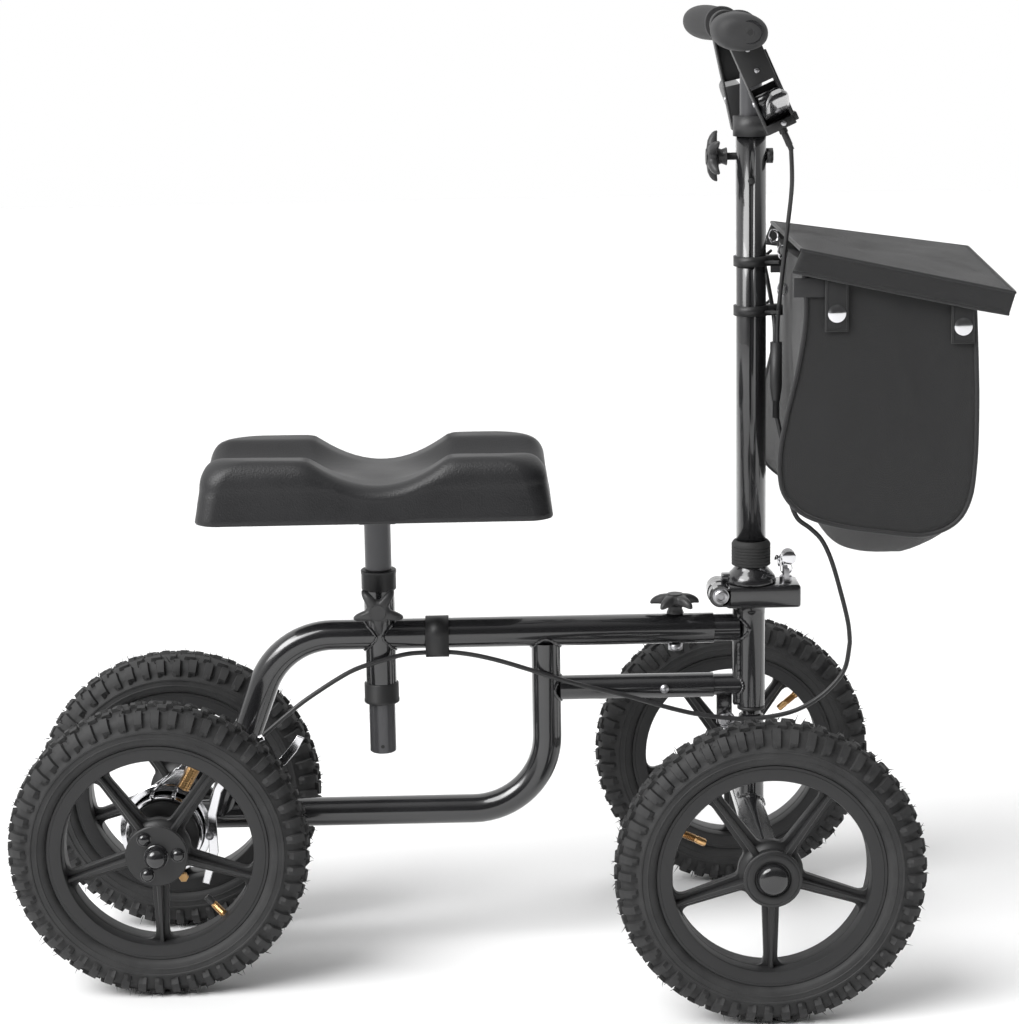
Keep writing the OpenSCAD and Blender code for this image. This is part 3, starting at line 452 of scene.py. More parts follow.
# name: colour, dust, drift, drift scale, roughness, metallic, coat, grain scale, grain depth
FINISHES = {
    "gloss_black": ((0.012, 0.012, 0.013), (0.03, 0.03, 0.032), 0.25, 9, 0.2, 0.0, 0.9, 260, 0.02),
    "satin_black": ((0.013, 0.013, 0.0135), (0.034, 0.034, 0.035), 0.35, 14, 0.42, 0.0, 0.0, 700, 0.05),
    "satin_grey": ((0.06, 0.06, 0.064), (0.11, 0.11, 0.115), 0.3, 10, 0.34, 0.35, 0.2, 500, 0.04),
    "rim_plastic": ((0.013, 0.013, 0.0135), (0.03, 0.03, 0.031), 0.4, 16, 0.42, 0.0, 0.0, 900, 0.12),
    "knob_plastic": ((0.026, 0.026, 0.027), (0.06, 0.06, 0.06), 0.35, 22, 0.38, 0.0, 0.0, 900, 0.14),
    "gloss_plastic": ((0.014, 0.014, 0.015), (0.03, 0.03, 0.03), 0.2, 20, 0.14, 0.0, 0.6, 300, 0.02),
    "tyre_rubber": ((0.014, 0.014, 0.0145), (0.062, 0.062, 0.062), 0.55, 26, 0.62, 0.0, 0.0, 700, 0.2),
    "grip_rubber": ((0.024, 0.024, 0.025), (0.058, 0.058, 0.058), 0.4, 30, 0.6, 0.0, 0.0, 1100, 0.3),
    "sleeve_rubber": ((0.012, 0.012, 0.012), (0.04, 0.04, 0.04), 0.3, 30, 0.66, 0.0, 0.0, 900, 0.25),
    "cable_jacket": ((0.018, 0.018, 0.019), (0.05, 0.05, 0.05), 0.3, 40, 0.36, 0.0, 0.0, 800, 0.05),
    "pad_cover": ((0.009, 0.009, 0.01), (0.022, 0.022, 0.024), 0.3, 12, 0.42, 0.0, 0.0, 620, 0.5),
    "chrome_plate": ((0.74, 0.74, 0.76), (0.45, 0.44, 0.43), 0.25, 30, 0.1, 1.0, 0.0, 300, 0.02),
    "zinc_steel": ((0.5, 0.5, 0.52), (0.3, 0.29, 0.28), 0.4, 60, 0.3, 1.0, 0.0, 900, 0.08),
    "brass": ((0.72, 0.44, 0.2), (0.35, 0.22, 0.1), 0.35, 60, 0.26, 1.0, 0.0, 600, 0.05),
    "bag_fabric": ((0.0055, 0.0055, 0.006), (0.014, 0.014, 0.0155), 0.35, 9, 0.72, 0.0, 0.0, 1500, 0.6),
    "bag_binding": ((0.008, 0.008, 0.009), (0.022, 0.022, 0.023), 0.3, 30, 0.55, 0.0, 0.0, 1500, 0.4),
}

MAT = {}


def make_materials():
    """Builds every finish once."""
    drift, grain, weave = drift_group(), grain_group(), weave_group()
    for name, row in FINISHES.items():
        color, dust, amount, scale, rough, metallic, coat, grain_scale, depth = row
        m = bpy.data.materials.new("ks_" + name)
        m.use_nodes = True
        nodes, links = m.node_tree.nodes, m.node_tree.links
        shader = nodes["Principled BSDF"]
        shader.inputs["Metallic"].default_value = metallic
        shader.inputs["Coat Weight"].default_value = coat
        shader.inputs["Coat Roughness"].default_value = 0.06
        if name.startswith("bag"):
            shader.inputs["Sheen Weight"].default_value = 0.25
            shader.inputs["Sheen Roughness"].default_value = 0.5
        tone = nodes.new("ShaderNodeGroup")
        tone.node_tree = drift
        tone.inputs["Color"].default_value = (*color, 1)
        tone.inputs["Dust"].default_value = (*dust, 1)
        tone.inputs["Amount"].default_value = amount
        tone.inputs["Scale"].default_value = scale
        tone.inputs["Roughness"].default_value = rough
        links.new(tone.outputs["Color"], shader.inputs["Base Color"])
        links.new(tone.outputs["Roughness"], shader.inputs["Roughness"])
        relief = nodes.new("ShaderNodeGroup")
        relief.node_tree = weave if name == "bag_fabric" else grain
        relief.inputs[0].default_value = grain_scale
        bump = nodes.new("ShaderNodeBump")
        bump.inputs["Strength"].default_value = depth
        bump.inputs["Distance"].default_value = 0.0004
        links.new(relief.outputs["Height"], bump.inputs["Height"])
        links.new(bump.outputs["Normal"], shader.inputs["Normal"])
        MAT[name] = m


# ---------- frame ----------


def saddle(kind, x, z, a, b, sign=1):
    """Bead path where a tube of radius a meets one of radius b.

    kind is "side" for a tube along X into a post, and "under" for an upright one into a run.
    """
    path = []
    for k in range(72):
        t = math.tau * k / 72
        y = a * math.sin(t)
        reach = math.sqrt(max(b * b - y * y, 0.0))
        if kind == "side":
            path.append((x + sign * reach, y, z + a * math.cos(t)))
        else:
            path.append((x + a * math.cos(t), y, z + sign * reach))
    return path


def hex_bolt(radius, height, washer=0.0):
    """Bolt head on a washer, along local +Z from z = 0."""
    return lathe(
        [(0, height), (radius * 0.86, height), (radius, height - 1), (radius, washer), (0, washer)], 6
    )


def arc_points(cx, cz, radius, start, end, steps=16):
    """Points of an arc in the XZ plane."""
    angles = [math.radians(start + (end - start) * k / steps) for k in range(steps + 1)]
    return [(cx + radius * math.cos(a), 0, cz + radius * math.sin(a)) for a in angles]


def rod(radius, length, chamfer=0.8, sides=64):
    """Round bar along local +Z with chamfered ends."""
    edge = radius - chamfer
    return lathe(
        [(0, 0), (edge, 0), (radius, chamfer), (radius, length - chamfer), (edge, length), (0, length)],
        sides
    )


def replace_with(build, name, body, slot, *nodes, angle=40):
    """Makes a piece and hides the CAD nodes it stands for."""
    ob = build.make(name, body, angle)
    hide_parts(*nodes)
    return ob


def frame_tubes():
    """Upper, down and lower tubes and the rear axle tube."""
    black = MAT["gloss_black"]
    run = [
        (220, 0, TUBE_Z), (219.4, 0, TUBE_Z), (-173, 0, TUBE_Z)
    ] + arc_points(-174, 267, BEND_R, 90, 160)
    run += [(-248.3, 0, 291.0), (-296.6, 0, 158.2)]
    upper = Build().add(tube(run, [TUBE_R - 0.5] + [TUBE_R] * (len(run) - 1), 48), black)
    replace_with(upper, "upper_tube_look", "frame", "gloss_black", "upper_tube")
    run = [(DOWN_X, 0, 333), (DOWN_X, 0, 234)] + arc_points(-32, 233, BEND_R, 0, -90) + [
        (-33, 0, 155), (REAR_X + 14, 0, 155)
    ]
    replace_with(
        Build().add(tube(run, DOWN_R, 48), black), "down_tube_look", "frame", "gloss_black", "down_tube"
    )
    lower = Build().add(rod(LOWER_R, 160), black, place(60, 0, LOWER_Z) @ turn(90, "Y"))
    replace_with(lower, "lower_tube_look", "frame", "gloss_black", "lower_tube")
    axle = Build().add(rod(AXLE_TUBE_R, 107), black, place(REAR_X, -35, AXLE_Z) @ turn(-90, "X"))
    replace_with(axle, "rear_axle_tube_look", "frame", "gloss_black", "rear_axle_tube")


def seat_holder():
    """Seat sleeve with its screw boss, and the collars on its ends."""
    black = MAT["gloss_black"]
    sleeve = Build().add(rod(SLEEVE_R, 117), black, place(SEAT_X, 0, 285))
    sleeve.add(rod(8, 25), black, place(SEAT_X, -25, 378.5) @ turn(-90, "X"))
    replace_with(sleeve, "seat_sleeve_look", "frame", "gloss_black", "seat_sleeve")
    collars = Build()
    ring = [
        (13.7, 0), (17.2, 0), (17.9, 0.9), (17.9, 16.8), (18.3, 17.4), (18.3, 20.2), (17.6, 21),
        (13.7, 21),
    ]
    collars.add(lathe(ring, 64, True), MAT["satin_black"], place(SEAT_X, 0, 393))
    collars.add(lathe(ring, 64, True), MAT["satin_black"], place(SEAT_X, 0, 294) @ turn(180, "X"))
    replace_with(collars, "seat_collars_look", "frame", "black_plastic", "seat_collars")


def head_tube():
    """Head tube with its two stubs, back plate and tab."""
    black = MAT["gloss_black"]
    head = Build().add(rod(HEAD_R, HEAD_TOP - HEAD_LOW, 1.2), black, place(STEER_X, 0, HEAD_LOW))
    head.add(rod(14.15, 87), black, place(160, 0, TUBE_Z) @ turn(90, "Y"))
    head.add(rod(11.15, 98), black, place(150, 0, LOWER_Z) @ turn(90, "Y"))
    head.add(block(239.7, 247.7, -7, 7, HEAD_LOW + 2, HEAD_TOP - 2, 1.6), black)
    head.add(block(223, 239, -2, 2, 242, 275, 0.8), black)
    replace_with(head, "head_tube_look", "frame", "gloss_black", "head_tube")


def front_fork():
    """Steerer and its foot, welded to the cross tube between the front wheels."""
    black = MAT["gloss_black"]
    fork = Build()
    fork.add(rod(FORK_R, 97.5), black, place(STEER_X, 0, AXLE_Z))
    fork.add(rod(STEERER_R, 236.5), black, place(STEER_X, 0, AXLE_Z))
    fork.add(rod(CROSS_R, 366), black, place(FRONT_X, -183, AXLE_Z) @ turn(-90, "X"))
    fork.add(
        lathe([(13.0, 250.0), (12.8, 251.5), (11, 252.5), (10, 253)], 48), black, place(STEER_X, 0, 0)
    )
    bead = []
    for k in range(72):
        x, y = 13.4 * math.cos(math.tau * k / 72), 13.4 * math.sin(math.tau * k / 72)
        bead.append((STEER_X + x, y, AXLE_Z + math.sqrt(max(228 - (x + 2) ** 2, 1))))
    fork.add(tube(bead, 1.9, 8, 0.18, True), black)
    replace_with(fork, "front_fork_look", "column", "gloss_black", "front_fork")


def seat_post():
    """Seat post with the plate and gussets that carry the knee pad."""
    grey = MAT["satin_grey"]
    post = Build().add(rod(POST_R, 256, 1.0), grey, place(SEAT_X, 0, 219.9))
    post.add(block(SEAT_X - 60, SEAT_X + 60, -30, 30, 475.9, 479.9, 0.8), grey)
    for side in (-1, 1):
        wing = [(side * 12, 475), (side * 40, 475), (side * 39, 471), (side * 18, 461), (side * 12, 461)]
        post.add(
            plate(wing if side < 0 else wing[::-1], [], -2.2, 2.2, 0.4), grey,
            place(SEAT_X, 0, 0) @ turn(90, "X")
        )
    post.add(rod(2.0, 0.5, 0.1, 20), MAT["sleeve_rubber"], place(SEAT_X, -13.2, 227.8) @ turn(90, "X"))
    replace_with(post, "seat_post_look", "seat", "satin_grey", "seat_post")


def frame_beads():
    """Weld beads where the frame's tubes meet."""
    beads = Build()
    for path in (
        saddle("side", SEAT_X, TUBE_Z, 15.8, 16.2, -1),
        saddle("side", SEAT_X, TUBE_Z, 15.8, 16.2, 1),
        saddle("under", DOWN_X, TUBE_Z, 15.1, 15.8, -1),
        saddle("side", DOWN_X, LOWER_Z, 12.8, 15.2, 1),
    ):
        beads.add(tube(path, 1.7, 8, 0.16, True), MAT["gloss_black"])
    beads.make("frame_beads", "frame")


def head_details():
    """Weld beads of the head tube, and the steering return spring on its hook."""
    black, steel = MAT["gloss_black"], MAT["zinc_steel"]
    head = Build()
    for path in (
        saddle("side", STEER_X, TUBE_Z, 14.2, 14.5, -1),
        saddle("side", STEER_X, LOWER_Z, 11.2, 14.4, -1),
    ):
        head.add(tube(path, 2.0, 8, 0.2, True), black)
    for side in (-1, 1):
        seam = [
            (
                STEER_X - 13.6, side * 7.2, z + 1.2 * math.sin(z * 1.9)
            ) for z in range(int(HEAD_LOW) + 6, int(HEAD_TOP) - 4, 2)
        ]
        head.add(tube(seam, 1.6, 8, 0.25), black)
    coil = []
    for k in range(150):
        t = k / 149
        a = math.tau * 9 * t
        coil.append((230 + 3.4 * math.cos(a) + 3 * t, -9.5 + 3.4 * math.sin(a), 246 - 22 * t))
    head.add(tube(coil, 0.8, 6), steel)
    head.add(
        lathe([(0, 5), (3.8, 5), (4.6, 3.6), (4.6, 0), (0, 0)], 24), steel,
        place(230, -7.5, 248) @ turn(90, "X")
    )
    head.add(
        tube(
            smooth_path(
                [(230, -11, 252), (236, -12, 256), (240, -12, 250), (236, -12, 244), (231, -11, 240)], 5
            ),
            1.3, 8
        ),
        steel
    )
    head.make("head_details", "frame")


# ---------- wheels ----------


def tread_shell(pitches, seed):
    """Tyre with moulded knobs, sidewall rings and moulding whiskers, about local Z."""
    half = [
        (0.0, 148.9, "C"), (4.2, 148.8, "C"), (4.7, 148.7, ""), (6.4, 148.4, ""), (6.9, 148.3, "B"),
        (12.3, 146.9, "B"), (12.8, 146.6, ""), (14.4, 145.9, ""), (14.9, 145.6, "S"),
        (18.0, 142.9, "S"), (20.2, 139.8, "S"), (21.4, 136.0, "S"), (22.2, 132.2, "L"),
        (23.3, 130.6, ""), (24.2, 128.6, ""), (25.1, 128.0, ""), (25.1, 126.6, ""),
        (24.4, 126.0, ""), (24.5, 121.8, ""), (24.9, 121.4, ""), (24.9, 120.4, ""),
        (24.3, 119.9, ""), (23.6, 116.6, ""), (22.4, 114.6, ""), (20.6, 113.2, ""),
        (19.3, 112.6, ""), (17.2, 111.4, ""),
    ]
    section = [(-w, r, row) for w, r, row in half[:0:-1]] + half
    normals = []
    for i in range(len(section)):
        a, b = section[max(i - 1, 0)], section[min(i + 1, len(section) - 1)]
        dw, dr = b[0] - a[0], b[1] - a[1]
        size = math.hypot(dw, dr)
        normals.append((-dr / size, dw / size))
    parts = (0.0, 0.06, 0.24, 0.30, 0.5, 0.56, 0.74, 0.80)
    raised = {
        "C": (1, 1, 1, 0, 0, 0, 0, 0), "B": (0, 0, 0, 1, 1, 1, 1, 0), "S": (1, 0, 0, 0, 0, 1, 1, 1),
    }
    tall = {"C": 3.5, "B": 3.9, "S": 4.3, "L": 3.6}
    columns = []
    for p in range(pitches):
        for j, part in enumerate(parts):
            angle = math.tau * (p + part) / pitches
            ring = []
            for i, (w, r, row) in enumerate(section):
                up = 0.0
                if row:
                    odd = p % 2
                    if row == "L":
                        up = tall["L"] * raised["S"][j] * (1 - odd)
                    elif row == "B":
                        up = tall["B"] * raised["B"][j if w > 0 else (j + 4) % 8]
                    else:
                        up = tall[row] * raised[row][j]
                lean = 0.0
                if row in ("B", "C"):
                    lean = 0.010 * (w / 12.0) * (1 if odd else -1)
                nw, nr = normals[i]
                ww, rr = w + nw * up, min(r + nr * up, TREAD_LIMIT)
                ring.append((rr * math.cos(angle + lean), rr * math.sin(angle + lean), ww))
            columns.append(ring)
    n = len(section)
    verts = [p for ring in columns for p in ring]
    faces = []
    for c in range(len(columns)):
        d = (c + 1) % len(columns)
        for i in range(n):
            k = (i + 1) % n
            faces.append((c * n + i, c * n + k, d * n + k, d * n + i))
    rng = random.Random(seed)
    whiskers = []
    for p in range(pitches * 3):
        angle = math.tau * (p + rng.uniform(0.2, 0.8)) / (pitches * 3)
        side = rng.choice((-1, 1))
        if rng.random() < 0.45:
            w0, r0, dw, dr = side * rng.uniform(16, 20), 145.5, side * 4.2, rng.uniform(6.0, 10.5)
        else:
            w0, r0, dw, dr = side * rng.uniform(2, 12), 150.5, side * rng.uniform(0, 2), rng.uniform(4.0, 7.0)
        tip = min(r0 + dr, WHISKER_LIMIT)
        bend = rng.uniform(-0.035, 0.035)
        whiskers.append((angle, w0, r0, angle + bend, w0 + dw, tip))
    for a0, w0, r0, a1, w1, r1 in whiskers:
        base, tip = len(verts), Vector((r1 * math.cos(a1), r1 * math.sin(a1), w1))
        root = Vector((r0 * math.cos(a0), r0 * math.sin(a0), w0))
        axis = (tip - root).normalized()
        side = axis.orthogonal().normalized()
        other = axis.cross(side)
        for k in range(4):
            q = root + side * (0.7 * math.cos(k * math.pi / 2)) + other * (0.7 * math.sin(k * math.pi / 2))
            verts.append(tuple(q))
        verts.append(tuple(tip))
        faces += [(base + k, base + (k + 1) % 4, base + 4) for k in range(4)]
        faces.append((base + 3, base + 2, base + 1, base))
    return verts, faces


def bezier_corner(p, a, b, f, steps=6):
    """Points that round the corner p between the directions towards a and b."""
    p, a, b = Vector(p), Vector(a), Vector(b)
    s = p + (a - p).normalized() * f
    e = p + (b - p).normalized() * f
    return [
        tuple(
            s * (1 - t) ** 2 + p * 2 * t * (1 - t) + e * t * t
        ) for t in (k / steps for k in range(steps + 1))
    ]


def spoke_windows(inner=32.0, outer=96.2):
    """Outlines of the five openings between the spokes."""
    holes = []
    for k in range(5):
        a0, a1 = math.radians(-90 + 72 * k), math.radians(-90 + 72 * (k + 1))

        def edge(r, first):
            off = math.asin((9.6 - 0.034 * r) / r)
            return a0 + off if first else a1 - off

        def at(r, a):
            return (r * math.cos(a), r * math.sin(a))

        ci0, ci1 = at(inner, edge(inner, True)), at(inner, edge(inner, False))
        co0, co1 = at(outer, edge(outer, True)), at(outer, edge(outer, False))
        span0, span1 = edge(inner, True), edge(inner, False)
        mid_in = [at(inner, span0 + (span1 - span0) * t) for t in (0.35, 0.5, 0.65)]
        w0, w1 = edge(outer, True), edge(outer, False)
        arc = [
            at(outer, w0 + (w1 - w0) * t) for t in (
                0.14, 0.22, 0.3, 0.38, 0.46, 0.54, 0.62, 0.7, 0.78, 0.86
            )
        ]
        outline = bezier_corner(ci1, mid_in[-1], co1, 5)
        outline += bezier_corner(co1, ci1, arc[-1], 11)
        outline += arc[::-1]
        outline += bezier_corner(co0, arc[0], ci0, 11)
        outline += bezier_corner(ci0, co0, mid_in[0], 5)
        outline += mid_in
        holes.append(outline)
    return holes


def rim_build(name, front):
    """Rim ring, spokes with ribs, hub barrel and bearings of one wheel."""
    m = wheel_matrix(name)
    plastic = MAT["rim_plastic"]
    b = Build()
    ring = [
        (96.5, 18.6), (97.2, 19.7), (98.4, 20.0), (108.6, 20.0), (109.0, 19.5), (111.6, 19.5),
        (112.4, 18.8), (112.4, 17.0), (100.6, 13.4),
    ]
    ring += [(r, -w) for r, w in ring[::-1]]
    b.add(lathe(ring, 144, True), plastic, m)
    outer = [
        (98.4 * math.cos(math.tau * k / 120), 98.4 * math.sin(math.tau * k / 120)) for k in range(120)
    ]
    b.add(plate(outer, spoke_windows(), -4.5, 4.5, 1.2), plastic, m)
    b.add(
        lathe(
            [(14, 24.0), (26.0, 24.0), (27.2, 22.6), (26.0, 16), (25.2, 9), (28.5, 5.2), (31.5, 4.4),
            (31.5, -4.4), (28.5, -5.2),
             (23.4, -9), (23.0, -26.6), (21.6, -28.0), (14, -28.0)], 96, True), plastic, m)
    for k in range(5):
        spin = m @ turn(72 * k - 90, "Z")
        for face in (1, -1):
            rings = []
            for r, w, h in (
                (21, 3.4, 17.5), (30, 3.0, 16.5), (60, 2.5, 13.0), (90, 2.2, 10.5), (97.4, 2.6, 12.0)
            ):
                low, top = 3.6 * face, h * face
                rings.append([
                    (r, -w, low), (r, -w, top - 1.2 * face), (r, -w + 1.0, top), (r, w - 1.0, top),
                    (r, w, top - 1.2 * face), (r, w, low),
                ])
            b.add(loft(rings), plastic, spin)
    steel = MAT["zinc_steel"]
    b.add(lathe([(6.2, -27.9), (13.6, -27.9), (13.9, -27.0), (13.9, -21), (6.2, -21)], 48, True), steel, m)
    rim = b.make(name + "_rim_look", name + "_wheel")
    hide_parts(name + "_rim")
    cap = Build()
    dull, shiny = MAT["rim_plastic"], MAT["gloss_plastic"]
    if front:
        cap.add(lathe([(0, 24.1), (27.6, 24.1), (28.5, 24.9), (28.5, 26.4), (27.3, 27.3), (25.6, 27.5),
        (25.2, 27.1),
                       (24.6, 27.5), (18.2, 27.6), (17.4, 27.0), (16.8, 25.6), (0, 25.6)], 96), dull, m)
        cap.add(
            lathe(
                [
                    (15.9, 25.4), (15.6, 29.0), (14.6, 31.8), (12.6, 34.0), (9.6, 35.4), (5.4, 36.1),
                    (0, 36.3),
                ],
                64
            ),
            shiny, m
        )
    else:
        cap.add(
            lathe([(0, 24.1), (30.6, 24.1), (31.5, 24.9), (31.5, 27.2), (30.6, 28.1), (0, 28.1)], 72),
            dull, m
        )
        for k in range(3):
            spot = m @ turn(120 * k + 3, "Z") @ place(21.5, 0, 28)
            cap.add(
                lathe(
                    [(7.4, 0), (7.4, 0.8), (6.6, 1.2), (6.2, 2.6), (4.8, 4.6), (2.6, 5.8), (0, 6.1)], 32
                ),
                shiny, spot
            )
        nut = m @ place(0, 0, 28)
        cap.add(
            lathe(
                [
                    (12.4, 0), (12.4, 1.4), (11.5, 2.0), (11.5, 6.2), (10.8, 9.4), (9.0, 12.6),
                    (6.4, 14.8), (3.2, 16.0), (0, 16.3),
                ],
                48
            ),
            shiny, nut
        )
    look = cap.make(name + "_cap_look", name + "_wheel")
    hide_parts(name + "_hub_set")


class KS_OT_wheels(bpy.types.Operator):
    """Builds the four wheels: treaded tyres, spoked rims, caps and valves"""

    bl_idname = "ks.wheels"
    bl_label = "Wheels"

    def execute(self, context):
        pitches = context.scene.ks_settings.tread_pitches
        for i, name in enumerate(WHEELS):
            m = wheel_matrix(name)
            tyre = Build().add(tread_shell(pitches, 7 + i), MAT["tyre_rubber"], m).make(
                name + "_tyre_look", name + "_wheel", 28)
            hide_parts(name + "_tyre")
            rim_build(name, name.startswith("front"))
            valve = Build()
            spin = m @ turn(WHEELS[name][3], "Z") @ turn(-90, "Y")
            # local +Z now points at the hub
            stem = [(0, -99), (3.9, -99), (3.9, -93), (3.4, -92.6)]
            for k in range(7):
                r = -92 + k * 1.7
                stem += [(3.9, r), (3.3, r + 0.85)]
            stem += [(3.3, -79.5), (2.6, -78.6), (0, -78.6)]
            valve.add(lathe(stem, 24), MAT["brass"], spin)
            valve.add(lathe([(0, -79), (3.7, -79), (3.7, -71), (3.0, -69.6), (0, -69.4)], 20),
                      MAT["brass"] if name != "rear_right" else MAT["knob_plastic"], spin)
            valve.add(
                lathe([(3.9, -99.5), (6.4, -99.2), (6.4, -96.4), (3.9, -95.2)], 24), MAT["tyre_rubber"],
                spin
            )
            v = valve.make(name + "_valve_look", name + "_wheel")
            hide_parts(name + "_inner_tube")
        dress("front_axle", MAT["satin_black"])
        dress("rear_axle", MAT["gloss_plastic"])
        return {"FINISHED"}


class KS_OT_frame(bpy.types.Operator):
    """Builds the frame's tubes, collars and weld beads and paints its fasteners"""

    bl_idname = "ks.frame"
    bl_label = "Frame"

    def execute(self, context):
        frame_tubes()
        seat_holder()
        head_tube()
        front_fork()
        seat_post()
        dress("head_bushes", MAT["satin_black"])
        dress("cable_strap", MAT["satin_black"])
        dress("frame_fasteners", MAT["zinc_steel"])
        frame_beads()
        head_details()
        return {"FINISHED"}


class KS_OT_brake(bpy.types.Operator):
    """Builds the rear brake: dish, band, drum, lever arm and cable anchor"""

    bl_idname = "ks.brake"
    bl_label = "Brake"

    def execute(self, context):
        chrome, steel = MAT["chrome_plate"], MAT["zinc_steel"]
        # local XY is the brake's plane and local +Z points outward
        flat = place(REAR_X, -38, AXLE_Z) @ turn(90, "X")
        dish = Build()
        dish.add(lathe([(8, -2.4), (41.5, -2.4), (42.6, -0.6), (43.6, 0.4), (47.0, 0.4), (48.0, 1.2),
        (48.0, 2.2), (47.0, 3.2),
                        (41.2, 3.2), (39.6, 1.6), (38.8, 0.0), (8, 0.0)], 96, True), chrome, flat)
        arms = [(-16, 38), (18, 38), (30, 48), (46, 76), (36, 82), (14, 64), (-12, 46)]
        dish.add(plate(arms, [], -2.3, -0.1, 0.5), chrome, flat)
        dish.add(block(-8.8, 21.2, -50, -36, 43, 45.5, 0.7), chrome,
                 place(REAR_X, 0, AXLE_Z) @ place(-8.8, 0, 43) @ turn(-40, "Y") @ place(8.8, 0, -43))
        dish.add(block(12, 22.2, -50, -36, 61.9, 64.4, 0.7), chrome, place(REAR_X, 0, AXLE_Z))
        replace_with(dish, "brake_backplate_look", "frame", "chrome_plate", "brake_backplate")
        band = Build()
        band.add(
            lathe([(37, 4.4), (39, 4.4), (39.5, 5), (39.5, 21.4), (39, 22), (37, 22)], 96, True),
            chrome, flat
        )
        for x in (-13, 9):
            band.add(block(x, x + 4, -60, -40, 35.5, 42, 0.6), chrome, place(REAR_X, 0, AXLE_Z))
        replace_with(band, "brake_band_look", "frame", "chrome_plate", "brake_band")
        drum = Build()
        bowl = [(8, 4.2), (35, 4.2), (36, 5.2), (36, 28), (34, 30), (24, 31), (23, 35.9), (8, 35.9)]
        drum.add(lathe(bowl, 96, True),
                 MAT["satin_black"], flat)
        replace_with(drum, "brake_drum_look", "rear_right_wheel", "zinc_steel", "brake_drum")
        line = [(36, -57), (43, -59), (54, -24), (53, 16), (59, 40), (66, 50), (92, 58), (126, 68),
        (138, 82), (146, 96),
                (139, 99), (130, 86), (120, 75), (88, 66), (60, 58), (52, 44), (44, 18), (44, -22)]
        arm = Build().add(plate(line, [], 7, 10, 0.7), chrome, flat)
        pivot = [(0, 2), (2.5, 2), (2.5, 10), (4.5, 10), (4.5, 11.6), (3.4, 12.6), (0, 12.8)]
        arm.add(lathe(pivot, 32), steel,
                flat @ place(45.6, -6, 0))
        replace_with(arm, "brake_arm_look", "brake_lever_arm", "chrome_plate", "brake_arm")
        b = Build()
        # local +Z runs along the barrel, from its lower end
        spot = place(REAR_X + 20, -47, AXLE_Z + 45) @ turn(30, "Y")
        profile = [(0, 0), (5.6, 0), (6.5, 0.8)]
        for k in range(9):
            profile += [(6.5, 2.0 + 2.5 * k), (6.05, 3.0 + 2.5 * k), (6.5, 3.6 + 2.5 * k)]
        profile += [(6.5, 25.2), (5.8, 26), (4.5, 26.2), (4.5, 29.4), (3.8, 30), (0, 30)]
        b.add(lathe(profile, 36), MAT["brass"], spot)
        anchor = b.make("cable_anchor_look", "frame")
        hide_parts("cable_anchor")
        extra = Build()
        wire = smooth_path([(REAR_X + 35, -47, 224), (REAR_X + 39, -47, 230), (-306, -47, 229)], 5)
        extra.add(tube(wire, 1.0, 8), MAT["zinc_steel"])
        extra.add(lathe([(0, 0), (3.6, 0), (3.6, 14), (3.0, 14.6), (0, 14.6)], 24), chrome,
                  place(-246, -47, 250.5) @ turn(-115, "Y"))
        extra.add(hex_bolt(5.2, 4.6), MAT["brass"], place(-334, -39, 100) @ turn(90, "X"))
        extra.make("brake_details", "frame")
        return {"FINISHED"}


# ---------- column and stem ----------


